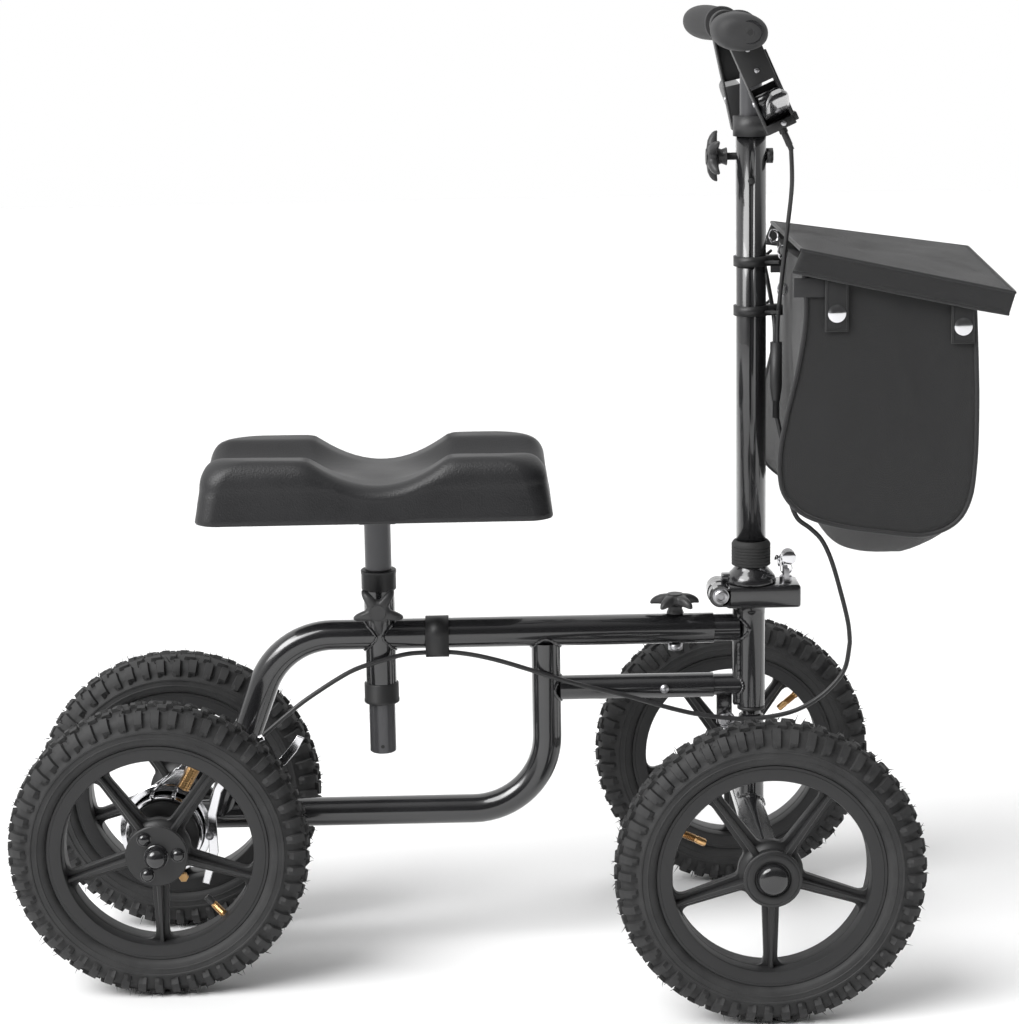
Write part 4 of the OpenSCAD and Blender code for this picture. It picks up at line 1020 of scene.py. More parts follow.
class KS_OT_column(bpy.types.Operator):
    """Builds the folding castings, hinge bolt, latch, rubber sleeve and the stem's tubes"""

    bl_idname = "ks.column"
    bl_label = "Column and stem"

    def execute(self, context):
        black, steel, chrome = MAT["gloss_black"], MAT["zinc_steel"], MAT["chrome_plate"]
        low = Build()
        low.add(block(232, 308.4, -22, 22, 369.2, CAST_TOP, 3.2, 3), black)
        for side in (-1, 1):
            y0, y1 = sorted((side * 7.5, side * 22))
            low.add(block(226, 238, y0, y1, 371, 391, 2.0, 2), black)
            knuckle = [(0, y0), (10.4, y0), (12.0, y0 + 1.6), (12.0, y1 - 1.6), (10.4, y1), (0, y1)]
            low.add(lathe(knuckle, 40), black,
                    place(226, 0, 383) @ turn(-90, "X"))
        low.add(
            lathe([(18.6, 0), (15.4, 3.0), (14.6, 6.5), (14.6, 9)], 48), black,
            place(STEER_X, 0, 369.3) @ turn(180, "X")
        )
        for side in (-1, 1):
            low.add(block(292.2, 297.8, side * 7.5 - 1.5, side * 7.5 + 1.5, 393, 408, 0.8, 2), steel)
        low.add(lathe([(6.6, 0), (6.6, 5.0), (5.4, 6.0), (0, 6.0)], 24), steel, place(295, 0, 393))
        ob = low.make("lower_casting_look", "column")
        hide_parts("lower_casting")
        up = Build()
        dome = [(0, 393.4), (25.2, 393.4), (26.0, 394.4), (25.8, 397.0), (24.6, 400.0), (22.0, 403.6),
        (19.0, 406.6),
                (17.2, 409.0), (16.6, 411.2), (16.6, 413.0), (0, 413.0)]
        up.add(lathe(dome, 72), black, place(STEER_X, 0, 0))
        up.add(block(228, 250, -6.6, 6.6, 393.6, 402.5, 2.2, 3), black)
        up.add(lathe([(0, -6.6), (11.2, -6.6), (12.8, -5.0), (12.8, 5.0), (11.2, 6.6), (0, 6.6)], 40),
        black,
               place(226, 0, 383) @ turn(-90, "X"))
        ob = up.make("upper_casting_look", "stem")
        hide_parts("upper_casting")
        pin = Build()
        for side in (-1, 1):
            m = place(226, side * 22, 383) @ turn(90 * (1 if side < 0 else -1), "X")
            pin_end = [
                (0, 2.2), (3.4, 2.2), (3.7, 5.2), (5.8, 5.8), (7.3, 4.6), (7.5, 1.0), (8.4, 0.9),
                (8.4, 0.1), (0, 0.1),
            ]
            pin.add(lathe(pin_end, 32),
                    MAT["zinc_steel"], m)
        ob = pin.make("fold_pin_look", "column")
        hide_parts("fold_pin")
        latch = Build()
        knob = [(0, 0)]
        for k in range(6):
            z = k * 2.9
            knob += [(5.4, z), (7.0, z + 0.6), (7.0, z + 1.7), (5.4, z + 2.3)]
        knob += [(4.6, 17.6), (0, 18.2)]
        latch.add(
            lathe([(5.9, -5.4), (6.4, -5.0), (6.4, 5.0), (5.9, 5.4)], 32, True), chrome,
            place(295, 0, 407) @ turn(90, "X")
        )
        latch.add(block(292.2, 297.8, -4.2, 4.2, 411, 423, 1.2, 2), chrome)
        latch.add(block(291.6, 298.4, -26, 4, 420.4, 425.6, 1.4, 2), chrome)
        latch.add(lathe(knob, 28), chrome, place(295, -32, 424) @ turn(-90, "X"))
        coil = []
        for k in range(81):
            a = math.tau * 5 * k / 80
            coil.append((284 + 20 * k / 80, -8 + 5.2 * math.cos(a), 416 + 5.2 * math.sin(a) + 5 * k / 80))
        latch.add(tube(coil, 1.3, 8), chrome)
        ob = latch.make("latch_lever_look", "latch")
        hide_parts("latch_lever")
        sleeve = Build()
        prof = [(15.4, 0.2), (19.4, 0.2), (20.0, 0.8)]
        for k in range(6):
            z = 2.0 + 3.3 * k
            prof += [(20.0, z), (19.5, z + 0.5), (19.5, z + 0.9), (20.0, z + 1.4)]
        prof += [(20.0, 22.4), (19.0, 24.2), (17.6, 25.8), (15.4, 26)]
        sleeve.add(lathe(prof, 64, True), MAT["sleeve_rubber"], place(STEER_X, 0, 411.3))
        ob = sleeve.make("stem_sleeve_look", "stem")
        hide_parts("stem_sleeve")
        dress("stem_tube", black)
        dress("stem_collar", MAT["knob_plastic"])
        dress("bag_clips", MAT["satin_black"])
        dress("cable_splitter", MAT["satin_black"])
        dent = Build()
        dent.add(
            lathe([(0, 0.7), (2.0, 0.7), (3.1, 0.2), (3.4, -0.6)], 24), MAT["satin_black"],
            place(STEER_X - 1, -15.1, 806) @ turn(90, "X")
        )
        dent.make("stem_button", "stem")
        return {"FINISHED"}


# ---------- bars ----------


def on_side(left):
    """Mirror for the left side."""
    return Matrix.Diagonal((1, -1, 1, 1)) if left else Matrix.Identity(4)


def grip_shell():
    """Palm grip along local -Y from the bar's inner end."""
    rings = []
    stations = [
        (90, 0, 0, 17.5, 17.5), (92, 0, 0, 18.2, 18.2), (96, 0, 0, 18.2, 18.2),
        (97.4, 0, 0, 17.0, 17.0), (98.4, 0, 0, 15.0, 15.0),
        (104, 0, 0, 14.8, 15.2), (112, -1, 0, 16.0, 16.2), (124, -3.5, 0, 18.6, 17.2),
        (140, -6.5, 0, 22.6, 17.8),
        (158, -8.5, 0, 25.4, 18.0), (176, -8.5, 0, 26.0, 18.0), (190, -8, 0, 25.4, 17.4),
        (198, -7.5, 0, 23.6, 16.0),
        (202.4, -7, 0, 20.4, 13.2), (204.6, -6.4, 0, 15.0, 8.8), (205, -6, 0, 9.6, 5.0),
    ]
    for y, cx, cz, a, b in stations:
        ring = []
        for k in range(48):
            t = math.tau * k / 48
            c, s = math.cos(t), math.sin(t)
            x, z = a * abs(c) ** 0.94 * (1 if c > 0 else -1), b * abs(s) ** 0.94 * (1 if s > 0 else -1)
            ring.append((cx + x, -y, cz + z - 0.06 * x))
        rings.append(ring)
    return loft(rings)


def lever_shell():
    """Brake lever blade in the lever's own plane: X away from the bar, Y outward negative, Z width."""
    line = [
        (76, -72), (85, -82), (88.5, -92), (85.5, -110), (80.5, -130), (75, -150), (69.5, -170),
        (65.5, -184), (61, -191.5),
    ]
    halves = [11.0, 12.0, 12.0, 12.0, 12.0, 11.8, 11.2, 9.6, 5.0]
    path = smooth_path([(x, y, h) for (x, y), h in zip(line, halves)], 4)
    rings = []
    for i, (x, y, h) in enumerate(path):
        a, b = path[max(i - 1, 0)], path[min(i + 1, len(path) - 1)]
        d = Vector((b[0] - a[0], b[1] - a[1], 0)).normalized()
        n = Vector((-d.y, d.x, 0))
        t = 2.7
        ring = []
        for k in range(20):
            ang = math.tau * k / 20
            c, s = math.cos(ang), math.sin(ang)
            off = n * (t * (abs(c) ** 0.6) * (1 if c > 0 else -1))
            z = h * (abs(s) ** 0.6) * (1 if s > 0 else -1)
            # a shallow channel along the back of the blade
            if c > 0:
                off -= n * (1.2 * (1 - min(1, abs(z) / h) ** 2))
            ring.append((x + off.x, y + off.y, z))
        rings.append(ring)
    return loft(rings)


class KS_OT_bars(bpy.types.Operator):
    """Builds the handlebar, palm grips, lever housings and brake levers"""

    bl_idname = "ks.bars"
    bl_label = "Handlebar and levers"

    def execute(self, context):
        grey, black, steel = MAT["satin_grey"], MAT["gloss_black"], MAT["zinc_steel"]
        bar = Build()
        half = [(BAR_X, -204, BAR_Z), (BAR_X, -150, BAR_Z), (BAR_X, -84, BAR_Z), (BAR_X + 1.5, -66, BAR_Z),
                (BAR_X + 9, -40, BAR_Z), (BAR_X + 17, -18, BAR_Z), (STEER_X - 0.5, 0, BAR_Z)]
        path = half + [(x, -y, z) for x, y, z in half[-2::-1]]
        bar.add(tube(smooth_path(path, 6), 11.1, 32), black)
        bar.add(lathe([(0, 700), (11.1, 700), (11.1, 955), (0, 955)], 48), grey, place(STEER_X, 0, 0))
        bead = []
        for k in range(60):
            t = math.tau * k / 60
            x, y = 11.0 * math.cos(t), 11.0 * math.sin(t)
            bead.append((STEER_X + x, y, BAR_Z - math.sqrt(max(124.0 - x * x, 0.4)) - 0.4))
        bar.add(tube(bead, 1.7, 8, 0.18, True), grey)
        ob = bar.make("handlebar_look", "bars")
        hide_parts("handlebar")
        grips = Build()
        for left in (False, True):
            m = on_side(left) @ place(BAR_X, 0, BAR_Z)
            grips.add(grip_shell(), MAT["grip_rubber"], m)
            grips.add(
                lathe([(2.6, 0), (3.2, 0.35), (3.4, 0.1)], 24), MAT["grip_rubber"],
                m @ place(0, -205, 0) @ turn(90, "X")
            )
            grips.add(
                lathe([(0, 0.12), (2.6, 0.12)], 24), MAT["sleeve_rubber"],
                m @ place(0, -205.0, 0) @ turn(90, "X")
            )
        ob = grips.make("grips_look", "bars", 50)
        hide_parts("grips")
        dark = MAT["satin_black"]
        brackets = Build()
        for name, left, tilt in (("right", False, 24), ("left", True, 12)):
            m = on_side(left) @ place(BAR_X, 0, BAR_Z) @ turn(90 - tilt, "Y")
            clamp = [(11.2, -80), (14.0, -80), (14.8, -79), (14.8, -61), (14.0, -60), (11.2, -60)]
            brackets.add(lathe(clamp, 48, True), dark,
                         m @ turn(-90, "X"))
            walls = (
                (10, 57, -80, -76, -14.5, 14.5), (8, 63, -79.6, -60, -14.6, -12.5),
                (8, 63, -79.6, -60, 12.5, 14.6),
                (97, 106, -82, -60, -15, 15), (61, 98, -82, -60, -15, -12.7), (61, 98, -82, -60, 12.7, 15),
                (61, 98, -62, -60, -13, 13),
            )
            for wall in walls:
                brackets.add(block(*wall, 0.9), dark, m)
            for bar_part in ((30, 98, -65.5, -60.5, 15.1, 17.6), (96, 104, -77, -61, 15.1, 19)):
                brackets.add(block(*bar_part, 0.7), MAT["knob_plastic"], m)
            for u in (22, 44):
                brackets.add(
                    lathe([(2.6, 0), (2.4, 0.8), (1.2, 1.3), (0, 1.35)], 24), steel,
                    m @ place(u, -80, 0) @ turn(90, "X")
                )
            brackets.add(
                lathe([(2.8, 0), (2.6, 0.9), (1.3, 1.5), (0, 1.6)], 24), steel,
                m @ place(101, -82, 3) @ turn(90, "X")
            )
            reach = 19.9 if left else 22.1
            barrel = [
                (0, 0), (4.2, 0), (4.2, 4), (3.3, 4.6), (3.3, reach - 5), (2.8, reach - 4.4),
                (2.8, reach), (0, reach),
            ]
            brackets.add(lathe(barrel, 24), MAT["satin_black"], m @ place(106, -78, 0) @ turn(90, "Y"))
            lever = Build()
            lever.add(lever_shell(), MAT["gloss_black"], m)
            lever.add(lathe([(0, -12), (6.6, -12), (7.0, -11.4), (7.0, 11.4), (6.6, 12), (0, 12)], 32),
            MAT["gloss_black"],
                      m @ place(74, -70, 0))
            pin = [(0, -16.2), (2.4, -16.2), (2.9, -15.4), (2.9, 15.4), (2.4, 16.2), (0, 16.2)]
            lever.add(lathe(pin, 24), steel,
                      m @ place(74, -70, 0))
            replace_with(
                lever, name + "_lever_look", name + "_lever", "gloss_black", name + "_brake_lever"
            )
        replace_with(brackets, "lever_brackets_look", "bars", "gloss_black", "lever_brackets")
        return {"FINISHED"}


# ---------- knobs ----------


def star_shell():
    """Five-lobed knob head with drooping lobes, along local +Z."""
    count = 120
    rings = []

    def reach(t):
        return 12.6 + 14.2 * (0.5 + 0.5 * math.cos(5 * t)) ** 2.0

    def ring(share, height, droop):
        out = []
        for k in range(count):
            t = math.tau * k / count
            r = reach(t) * share if share > 0.55 else 14.0 * share / 0.55 * (
                0.55 + 0.45 * reach(t) / 26.8 * share
            )
            out.append((r * math.cos(t), r * math.sin(t), height - droop * (r / 27.0) ** 2))
        return out

    for share, height, droop in (
        (0.30, 8.0, 0), (0.62, 9.6, 1.0), (0.86, 11.4, 3.4), (0.96, 13.0, 5.0), (1.0, 15.2, 6.0),
        (0.985, 17.4, 6.2),
        (0.93, 18.9, 6.0), (0.80, 19.8, 5.0), (0.62, 20.2, 3.6), (0.44, 20.4, 2.6),
    ):
        rings.append(ring(share, height, droop))
    rings.append(
        [
            (
                8.9 * math.cos(math.tau * k / count), 8.9 * math.sin(math.tau * k / count), 20.2
            ) for k in range(count)
        ]
    )
    rings.append(
        [
            (
                8.5 * math.cos(math.tau * k / count), 8.5 * math.sin(math.tau * k / count), 19.6
            ) for k in range(count)
        ]
    )
    rings.append(
        [
            (
                8.1 * math.cos(math.tau * k / count), 8.1 * math.sin(math.tau * k / count), 19.6
            ) for k in range(count)
        ]
    )
    rings.append(
        [
            (
                7.8 * math.cos(math.tau * k / count), 7.8 * math.sin(math.tau * k / count), 20.9
            ) for k in range(count)
        ]
    )
    return loft(rings)


class KS_OT_knobs(bpy.types.Operator):
    """Builds the three star knobs with their bolts"""

    bl_idname = "ks.knobs"
    bl_label = "Knobs"

    def execute(self, context):
        rows = (
            (
                "stem_knob", "stem_lock",
                place(STEER_X - 24.25, 0, 830) @ turn(-90, "Y") @ turn(90, "Z"), 47
            ),
            ("frame_knob", "frame_lock", place(STEER_X - 78.5, 0, 361.2) @ turn(90, "Z"), 37),
            ("seat_knob", "seat_lock", place(SEAT_X, -25.5, 378.5) @ turn(90, "X") @ turn(-90, "Z"), 11),
        )
        for node, body, m, bolt in rows:
            b = Build()
            b.add(star_shell(), MAT["knob_plastic"], m)
            b.add(
                lathe([(0, 0), (8.6, 0), (9.0, 0.6), (8.0, 3.0), (7.2, 5.4), (8.4, 8.6), (0, 8.6)], 40),
                MAT["knob_plastic"], m
            )
            thread = [(0, -bolt)]
            z = -bolt + 0.5
            while z < -0.8:
                thread += [(3.9, z), (3.5, z + 0.6)]
                z += 1.2
            thread += [(3.9, 0.5), (0, 0.5)]
            b.add(lathe(thread, 24), MAT["zinc_steel"] if node != "stem_knob" else MAT["satin_black"], m)
            ob = b.make(node + "_look", body, 50)
            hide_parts(node)
        return {"FINISHED"}


# ---------- knee pad ----------


def rounded_outline(half_x, half_y, radius, count=240):
    """Points round a rectangle with round corners, evenly by angle."""
    pts = []
    per = count // 4
    for q, (sx, sy) in enumerate(((1, 1), (-1, 1), (-1, -1), (1, -1))):
        cx, cy = sx * (half_x - radius), sy * (half_y - radius)
        straight = per // 2
        for k in range(straight):
            t = k / straight
            a = math.radians(90 * q + 90 * t)
            pts.append((cx + radius * math.cos(a), cy + radius * math.sin(a)))
        a = math.radians(90 * q + 90)
        end = (cx + radius * math.cos(a), cy + radius * math.sin(a))
        nsx, nsy = ((-1, 1), (-1, -1), (1, -1), (1, 1))[q]
        nxt = (
            nsx * (half_x - radius) + radius * math.cos(a),
            nsy * (half_y - radius) + radius * math.sin(a)
        )
        for k in range(per - straight):
            t = k / (per - straight)
            pts.append((end[0] + (nxt[0] - end[0]) * t, end[1] + (nxt[1] - end[1]) * t))
    return pts


def pad_top(x, y, valley):
    """Height of the pad's upper surface, before its edges are rounded."""

    def soft(v, eps):
        return 0.5 * (v + math.sqrt(v * v + eps))

    dip = min(1.0, soft(1 - ((x - 5.0) / 70.0) ** 2, 0.01))
    channel = min(1.0, soft(1 - (y / 50.0) ** 2, 0.02))
    depth = 1 - (1 - dip) * (1 - 0.78 * channel)
    return 63.0 - valley * depth


class KS_OT_pad(bpy.types.Operator):
    """Builds the padded knee rest with its four lobes, dip and channel"""

    bl_idname = "ks.pad"
    bl_label = "Knee pad"

    def execute(self, context):
        valley = context.scene.ks_settings.pad_valley * 1000
        rings = []
        for inset, z in (
            (9, 0.0), (2.4, 0.0), (0.7, 0.8), (0.0, 2.6), (0.6, 6), (1.8, 13), (3.2, 22), (4.8, 31)
        ):
            out = rounded_outline(179 - inset, 93 - inset * 0.8, 20 + inset * 0.4)
            rings.append([(x, y, z * min(1.0, (pad_top(x, y, valley) - 16) / 32)) for x, y in out])
        lip = 19.0
        for k in range(0, 17):
            t = k / 16
            a = t * math.pi / 2
            inset = 5.0 + 2.6 * (1 - math.cos(a)) + lip * (1 - math.cos(a))
            out = rounded_outline(179 - inset, 93 - inset * 0.8, 22 + inset * 0.5)
            ring = []
            for x, y in out:
                top = pad_top(x, y, valley)
                base = min(34.0, top - 14)
                ring.append((x, y, base + (top - base) * math.sin(a)))
            rings.append(ring)
        last = 5.0 + 2.6 + lip
        hx, hy = 179 - last, 93 - last * 0.8
        for k in range(1, 46):
            s = 1 - k / 46
            out = rounded_outline(hx, hy, 22 + last * 0.5)
            rings.append([(x * s, y * s, pad_top(x * s, y * s, valley)) for x, y in out])
        for ring in rings[3:]:
            for i, (x, y, z) in enumerate(ring):
                n = noise.noise(Vector((x * 0.013, y * 0.02, z * 0.02))) * 0.9
                ring[i] = (x, y, z + n * min(1, max(0, (z - 20) / 20)))
        b = Build()
        b.add(loft(rings), MAT["pad_cover"], place(SEAT_X, 0, PAD_Z))
        base = [
            [(x, y, z) for x, y in rounded_outline(168 - i, 82 - i, 16)] for i, z in ((0, -0.1), (0, 1.0))
        ]
        b.add(loft(base), MAT["satin_black"], place(SEAT_X, 0, PAD_Z))
        ob = b.make("knee_pad_look", "seat", 60)
        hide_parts("knee_pad")
        bolts = Build()
        for sx in (-1, 1):
            for sy in (-1, 1):
                bolts.add(
                    hex_bolt(5, 3.4, 0.6), MAT["zinc_steel"],
                    place(SEAT_X + sx * 46, sy * 21, 475.8) @ turn(180, "X")
                )
        bolts.make("pad_bolts", "seat")
        return {"FINISHED"}


# ---------- bag ----------

SIDE_LINE = [
    (298, 736), (302, 702), (301, 668), (294, 626), (285, 588), (278, 552), (277, 525), (283, 502),
    (303, 483), (336, 472),
    (378, 465), (420, 461), (450, 472), (465, 496), (470, 534), (471, 580), (470, 626), (467, 692),
]
MID_LINE = [
    (294, 736), (295, 702), (297, 668), (299, 626), (301, 590), (302, 556), (303, 530), (306, 502),
    (315, 476), (339, 442),
    (364, 430), (402, 427), (440, 446), (463, 480), (473, 525), (476, 580), (475, 630), (471, 692),
]


def bag_outline(y):
    """Outline in X and Z of the bag's body at a distance y from its middle."""
    share = min(1.0, abs(y) / 105.0) ** 2.4
    side = smooth_path(SIDE_LINE, 5)
    mid = smooth_path(MID_LINE, 5)
    line = [(m[0] + (s[0] - m[0]) * share, m[1] + (s[1] - m[1]) * share) for m, s in zip(mid, side)]
    x0, z0 = line[-1]
    x1, z1 = line[0]
    return line + [
        (x0 + (x1 - x0) * t, z0 + (z1 - z0) * t) for t in (0.1, 0.25, 0.4, 0.55, 0.7, 0.85, 0.95)
    ]


def fold_noise(p, size, depth):
    """Soft folds of cloth, a signed distance."""
    v = noise.noise(Vector((p[0] / size, p[1] / size, p[2] / (size * 1.9))))
    w = noise.noise(Vector((p[0] / (size * 0.45) + 7, p[1] / (size * 0.45), p[2] / (size * 0.9))))
    return depth * (v + 0.45 * w)


class KS_OT_bag(bpy.types.Operator):
    """Builds the bag: body, piping, lid, tabs, snaps and straps"""

    bl_idname = "ks.bag"
    bl_label = "Bag"

    def execute(self, context):
        fabric, binding = MAT["bag_fabric"], MAT["bag_binding"]
        steps = 26
        rings = []
        for i in range(steps + 1):
            y = -105 + 210 * i / steps
            ring = []
            line = bag_outline(y)
            for x, z in line:
                ease = 1 - (abs(y) / 105.0) ** 4
                d = fold_noise((x, y, z), 62, 3.0) * ease
                if x > 400:
                    x += d
                elif z < 500:
                    z += d
                ring.append((x, y, z))
            rings.append(ring)

        def cap(sign):
            line = bag_outline(105)
            cx, cz = 382.0, 590.0
            out = []
            for k in range(1, 15):
                s = 1 - k / 15
                ring = []
                for x, z in line:
                    px, pz = cx + (x - cx) * s, cz + (z - cz) * s
                    high = max(0.0, min(1.0, (690 - pz) / 90))
                    crown = 8.0 * (1 - s * s) * high + 0.8
                    fold = fold_noise((px, 40 * sign, pz), 44, 2.6) * (1 - s ** 3) * (0.35 + 0.65 * high)
                    pleat = 2.6 * math.exp(
                        -((px - 404 + 0.1 * (pz - 640)) / 11) ** 2
                    ) * max(0, min(1, (pz - 560) / 60))
                    y = 105 + crown + min(fold, 2.0) - pleat
                    ring.append((px, sign * min(y, 106.6 + 8 * high), pz))
                out.append(ring)
            return out

        full = cap(-1)[::-1] + rings + cap(1)
        body = Build()
        body.add(loft(full), fabric)
        for sign in (-1, 1):
            edge = [(x, sign * 105.6, z) for x, z in bag_outline(105)[: -7]]
            body.add(tube(edge, 2.3, 10), binding)
        ob = body.make("bag_body_look", "stem", 60)
        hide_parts("bag_body")
        self.lid(fabric, binding)
        self.straps(fabric, binding)
        return {"FINISHED"}

    def lid(self, fabric, binding):
        """Sloping lid with its skirt and bound edges."""
        near_back, near_front = Vector((297, -114, 747)), Vector((504, -116, 702))
        far_back, far_front = Vector((292, 113, 752)), Vector((498, 114, 722))
        nu, nv = 34, 34

        def top(u, v):
            near = near_back * (1 - u) * (1 - v) + near_front * u * (1 - v)
            p = near + far_back * (1 - u) * v + far_front * u * v
            inner = (1 - (2 * v - 1) ** 4) * (1 - (2 * u - 1) ** 4)
            lift = 3.0 * inner + fold_noise(p, 70, 4.2) * inner + fold_noise(p, 26, 1.0) * inner
            lift += 1.6 * math.sin(5.0 * v + 3 * u) * inner * max(0, 0.5 - u)
            return Vector((p.x, p.y, p.z + lift))

        def skirt(p, push, drop):
            return Vector((p.x + push[0] * drop, p.y + push[1] * drop, p.z - 21 * drop))

        b = Build()
        grid = [[top(u / nu, v / nv) for v in range(nv + 1)] for u in range(nu + 1)]
        b.add(loft(grid, False, False, closed=False), fabric)
        rim = [grid[0][0]] + [grid[u][0] for u in range(1, nu)] + [grid[nu][v] for v in range(nv + 1)]
        rim += [grid[u][nv] for u in range(nu - 1, -1, -1)]
        levels = []
        for k in range(6):
            t = k / 5
            row = []
            for i, p in enumerate(rim):
                if i <= nu - 1:
                    push = (-9, 1.2)
                elif i <= nu + nv:
                    push = (-11, 0)
                else:
                    push = (-9, -1.2)
                near = min(abs(i - nu), abs(i - nu - nv)) / 5.0
                if near < 1:
                    push = (-10 + 4 * (1 - near), push[1])
                wave = 0.9 * math.sin(i * 0.55) * t
                q = skirt(p, push, t)
                row.append(
                    (
                        q.x + (wave if nu - 1 < i <= nu + nv else 0),
                        q.y + (0 if nu - 1 < i <= nu + nv else wave * 0.6), q.z
                    )
                )
            levels.append(row)
        b.add(loft(levels, False, False, closed=False), fabric)
        shell = b.make("bag_lid_look", "lid", 60, outward=False)
        solid = shell.modifiers.new("thickness", "SOLIDIFY")
        solid.thickness = 0.0022
        solid.offset = 0
        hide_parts("bag_lid")
        trim = Build()
        trim.add(tube(rim, 1.9, 8), binding)
        trim.add(tube(levels[-1], 1.7, 8), binding)
        trim.add(tube([grid[0][v] for v in range(nv + 1)], 1.9, 8), binding)
        trim.make("bag_lid_binding", "lid", 60)

    def straps(self, fabric, binding):
        """Tabs with snap buttons, side strap, hooks and clip loops."""
        chrome = MAT["chrome_plate"]
        b = Build()
        for sign in (-1, 1):
            for x, z0, z1, zb in ((332, 666, 722, 684), (455.5, 652, 698, 669)):
                y0, y1 = sorted((sign * 108.3, sign * 110.3))
                b.add(block(x - 11.5, x + 11.5, y0, y1, z0, z1, 0.8, 2), fabric)
                stitch = [
                    (x - 9.6, sign * 110.4, z1), (x - 9.6, sign * 110.4, z0 + 2),
                    (x + 9.6, sign * 110.4, z0 + 2), (x + 9.6, sign * 110.4, z1),
                ]
                b.add(tube(stitch, 0.45, 6), binding)
                spot = place(x, sign * 110.2, zb) @ turn(90 if sign < 0 else -90, "X")
                b.add(
                    lathe(
                        [
                            (0, 0), (8.6, 0), (9.0, 0.5), (8.8, 1.1), (7.6, 1.5), (6.6, 1.9),
                            (4.6, 2.5), (2.4, 2.8), (0, 2.9),
                        ],
                        40
                    ),
                    chrome, spot
                )
            y0, y1 = sorted((sign * 106.4, sign * 108.2))
            b.add(block(290, 322, y0, y1, 700, 719, 0.7, 2), binding)
        ob = b.make("bag_snaps_look", "stem", 50)
        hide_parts("bag_snaps")
        hooks = Build()
        for y, z in ((-40, 737), (-40, 700), (40, 745)):
            loop = [
                (282, y, z), (283.5, y, z + 5), (287, y, z + 6), (290.5, y, z + 3), (290.5, y, z - 3),
                (287, y, z - 6), (283.5, y, z - 5),
            ]
            loop = smooth_path(loop + [loop[0]], 4)[:-1]
            hooks.add(tube(loop, 1.2, 8, 0, True), chrome)
        for z in (725, 675):
            arc = [
                (
                    STEER_X + 23 * math.cos(t), 23 * math.sin(t), z
                ) for t in (math.radians(a) for a in range(-55, 56, 5))
            ]
            hooks.add(tube([(283, -46, z + 3)] + arc + [(283, 34, z + 6)], 1.5, 8), MAT["satin_black"])
        hooks.make("bag_hooks", "stem")


# ---------- cables ----------

STEM_RUN = [
    (283, -24, 568), (289, -22, 540), (293.5, -20, 507), (297, -18, 482), (305, -15, 462), (319, -12, 450),
    (331, -11, 437), (341, -11, 415), (351, -12, 380), (358, -13, 350), (360, -13, 329.5),
]
HEAD_RUN = [
    (360, -13, 329.5), (355, -15, 303), (341, -17, 284), (322, -19, 269), (300, -21, 259),
    (275, -22, 254), (250, -22, 252),
]
REAR_RUN = [
    (250, -22, 252), (222, -22, 255), (193, -21, 260), (160, -20, 269), (131, -19, 278), (75, -19, 293),
    (30, -18, 308),
    (-2, -16, 318), (-30, -14, 324.5), (-55, -13, 327.6), (-80, -13, 327.6), (-100, -17, 327),
    (-125, -23, 322),
    (-156, -30, 313), (-197, -40, 290), (-222, -45, 272), (-246, -47, 252),
]
BAR_RUNS = (
    [
        (290.5, -78, 842), (291.5, -77, 806), (288, -66, 760), (285, -48, 712), (283, -30, 668),
        (283, -27, 645),
    ],
    [(264.8, 78, 837), (266, 77, 800), (270, 62, 755), (278, 28, 705), (281, -12, 668), (281, -21, 645)],
)


class KS_OT_cables(bpy.types.Operator):
    """Builds the brake cable and the two lever cables"""

    bl_idname = "ks.cables"
    bl_label = "Cables"

    def execute(self, context):
        jacket = MAT["cable_jacket"]
        for name, run, node, bodies, ends in (
            ("stem_cable", STEM_RUN, "brake_cable_stem", ("stem", "column"), (STEM_RUN[1], STEM_RUN[-1])),
            ("head_cable", HEAD_RUN, "brake_cable_head", ("column", "frame"), (HEAD_RUN[0], HEAD_RUN[-1])),
            ("rear_cable", REAR_RUN, "brake_cable_rear", None, None),
        ):
            b = Build()
            b.add(tube(smooth_path(run, 8), 2.4, 12), jacket)
            if node == "brake_cable_rear":
                b.add(
                    tube(smooth_path([(-246, -47, 252), (-275, -47, 241), (-306, -47, 229)], 8), 0.9, 8),
                    MAT["zinc_steel"]
                )
            ob = b.make(name, None if bodies else "frame", 60)
            if bodies:
                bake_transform(ob)
            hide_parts(node)
        b = Build()
        for run in BAR_RUNS:
            b.add(tube(smooth_path(run, 10), 2.2, 12), jacket)
        ob = b.make("bar_cables", None, 60)
        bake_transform(ob)
        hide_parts("lever_cables")
        return {"FINISHED"}


# ---------- stage ----------


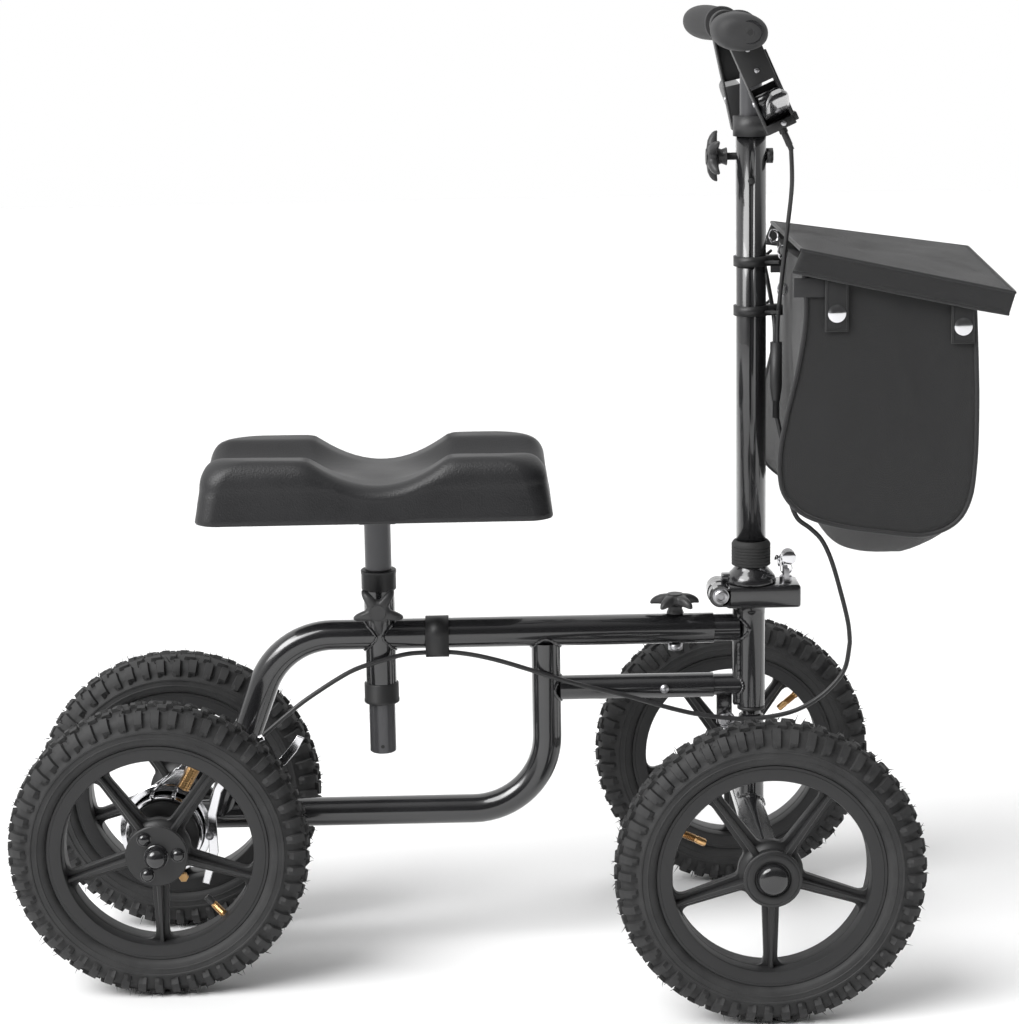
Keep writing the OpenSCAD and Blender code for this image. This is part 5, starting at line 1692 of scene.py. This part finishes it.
class KS_OT_stage(bpy.types.Operator):
    """Sets the floor, the soft lights, the world and the camera"""

    bl_idname = "ks.stage"
    bl_label = "Stage"

    def execute(self, context):
        scene = context.scene
        scene.view_settings.view_transform = "Standard"
        floor = bpy.data.meshes.new("floor")
        floor.from_pydata([(-9, -9, 0), (9, -9, 0), (9, 9, 0), (-9, 9, 0)], [], [(0, 1, 2, 3)])
        ob = bpy.data.objects.new("floor", floor)
        pale = bpy.data.materials.new("ks_floor")
        pale.use_nodes = True
        shader = pale.node_tree.nodes["Principled BSDF"]
        shader.inputs["Base Color"].default_value = (0.93, 0.93, 0.93, 1)
        shader.inputs["Roughness"].default_value = 0.9
        shader.inputs["Specular IOR Level"].default_value = 0.1
        floor.materials.append(pale)
        scene.collection.objects.link(ob)
        world = bpy.data.worlds.new("ks_world")
        world.use_nodes = True
        nodes = world.node_tree.nodes
        links = world.node_tree.links
        coord = nodes.new("ShaderNodeTexCoord")
        split = nodes.new("ShaderNodeSeparateXYZ")
        links.new(coord.outputs["Generated"], split.inputs[0])
        level = None
        # white behind the object, half bright on the left and above, dark elsewhere
        for axis, start, end, bright in (
            ("Y", -0.1, 0.25, 1.0), ("X", -0.35, -0.9, 0.75), ("Z", 0.45, 0.95, 0.55)
        ):
            ramp = nodes.new("ShaderNodeMapRange")
            ramp.interpolation_type = "SMOOTHSTEP"
            ramp.inputs["From Min"].default_value = start
            ramp.inputs["From Max"].default_value = end
            ramp.inputs["To Min"].default_value = 0.06
            ramp.inputs["To Max"].default_value = bright
            links.new(split.outputs[axis], ramp.inputs["Value"])
            if level is None:
                level = ramp.outputs["Result"]
                continue
            larger = nodes.new("ShaderNodeMath")
            larger.operation = "MAXIMUM"
            links.new(level, larger.inputs[0])
            links.new(ramp.outputs["Result"], larger.inputs[1])
            level = larger.outputs[0]
        links.new(level, nodes["Background"].inputs["Color"])
        nodes["Background"].inputs["Strength"].default_value = context.scene.ks_settings.sky
        scene.world = world
        for name, kind, where, size, power in (
            ("sun", "SUN", (-1.5, -1.3, 2.6), 0.7, 2.5),
            ("key", "AREA", (-2.4, -1.6, 2.2), 1.6, 40),
        ):
            lamp = bpy.data.lights.new(name, kind)
            if kind == "AREA":
                lamp.size = size
            else:
                lamp.angle = size
            lamp.energy = power * context.scene.ks_settings.light
            light = bpy.data.objects.new(name, lamp)
            light.location = where
            light.rotation_euler = (
                Vector((0, 0, 0.45)) - Vector(where)
            ).to_track_quat("-Z", "Y").to_euler()
            scene.collection.objects.link(light)
        data = bpy.data.cameras.new("camera")
        data.lens = 97.07
        data.sensor_width = 36
        data.clip_end = 60
        camera = bpy.data.objects.new("camera", data)
        pitch, yaw, roll = 0.200256, -0.008596, 0.0179717
        right = Vector((math.cos(yaw), math.sin(yaw), 0))
        level = Vector((-math.sin(yaw), math.cos(yaw), 0))
        ahead = level * math.cos(pitch) - Vector((0, 0, math.sin(pitch)))
        up = level * math.sin(pitch) + Vector((0, 0, math.cos(pitch)))
        side = right * math.cos(roll) - up * math.sin(roll)
        high = up * math.cos(roll) + right * math.sin(roll)
        m = Matrix((side, high, -ahead)).transposed().to_4x4()
        m.translation = Vector((-0.01286, -2.7765, 1.0347))
        camera.matrix_world = m
        scene.collection.objects.link(camera)
        scene.camera = camera
        return {"FINISHED"}


class KS_settings(bpy.types.PropertyGroup):
    """Sizes and light that can be changed before the pieces are built."""

    tread_pitches: bpy.props.IntProperty(
        name="Tread pitches", description="Knobs round each tyre", default=52, min=20, max=90
    )
    pad_valley: bpy.props.FloatProperty(
        name="Pad valley", description="Depth of the dip across the knee pad", default=0.027, min=0,
        max=0.045, unit="LENGTH", subtype="DISTANCE"
    )
    light: bpy.props.FloatProperty(
        name="Light", description="Strength of the lamps", default=1.0, min=0, max=4
    )
    sky: bpy.props.FloatProperty(
        name="Sky", description="Strength of the even light all round", default=1.0, min=0, max=4
    )


class KS_PT_panel(bpy.types.Panel):
    """Sidebar panel with the settings and one button per group of pieces"""

    bl_idname = "KS_PT_panel"
    bl_label = "Knee scooter"
    bl_space_type = "VIEW_3D"
    bl_region_type = "UI"
    bl_category = "Scooter"

    def draw(self, context):
        for name in KS_settings.__annotations__:
            self.layout.prop(context.scene.ks_settings, name)
        for op in OPERATORS:
            self.layout.operator(op.bl_idname)


OPERATORS = (
    KS_OT_frame, KS_OT_wheels, KS_OT_brake, KS_OT_column, KS_OT_bars, KS_OT_knobs, KS_OT_pad, KS_OT_bag,
    KS_OT_cables,
    KS_OT_stage,
)


def register():
    """Registers the settings, operators and panel."""
    for cls in (KS_settings, KS_PT_panel, *OPERATORS):
        bpy.utils.register_class(cls)
    bpy.types.Scene.ks_settings = bpy.props.PointerProperty(type=KS_settings)


def unregister():
    """Takes them out again."""
    del bpy.types.Scene.ks_settings
    for cls in (*reversed(OPERATORS), KS_PT_panel, KS_settings):
        bpy.utils.unregister_class(cls)


def main():
    """Builds everything in order."""
    register()
    make_materials()
    for name in ("frame", "wheels", "brake", "column", "bars", "knobs", "pad", "bag", "cables", "stage"):
        getattr(bpy.ops.ks, name)()


if __name__ == "__main__":
    main()
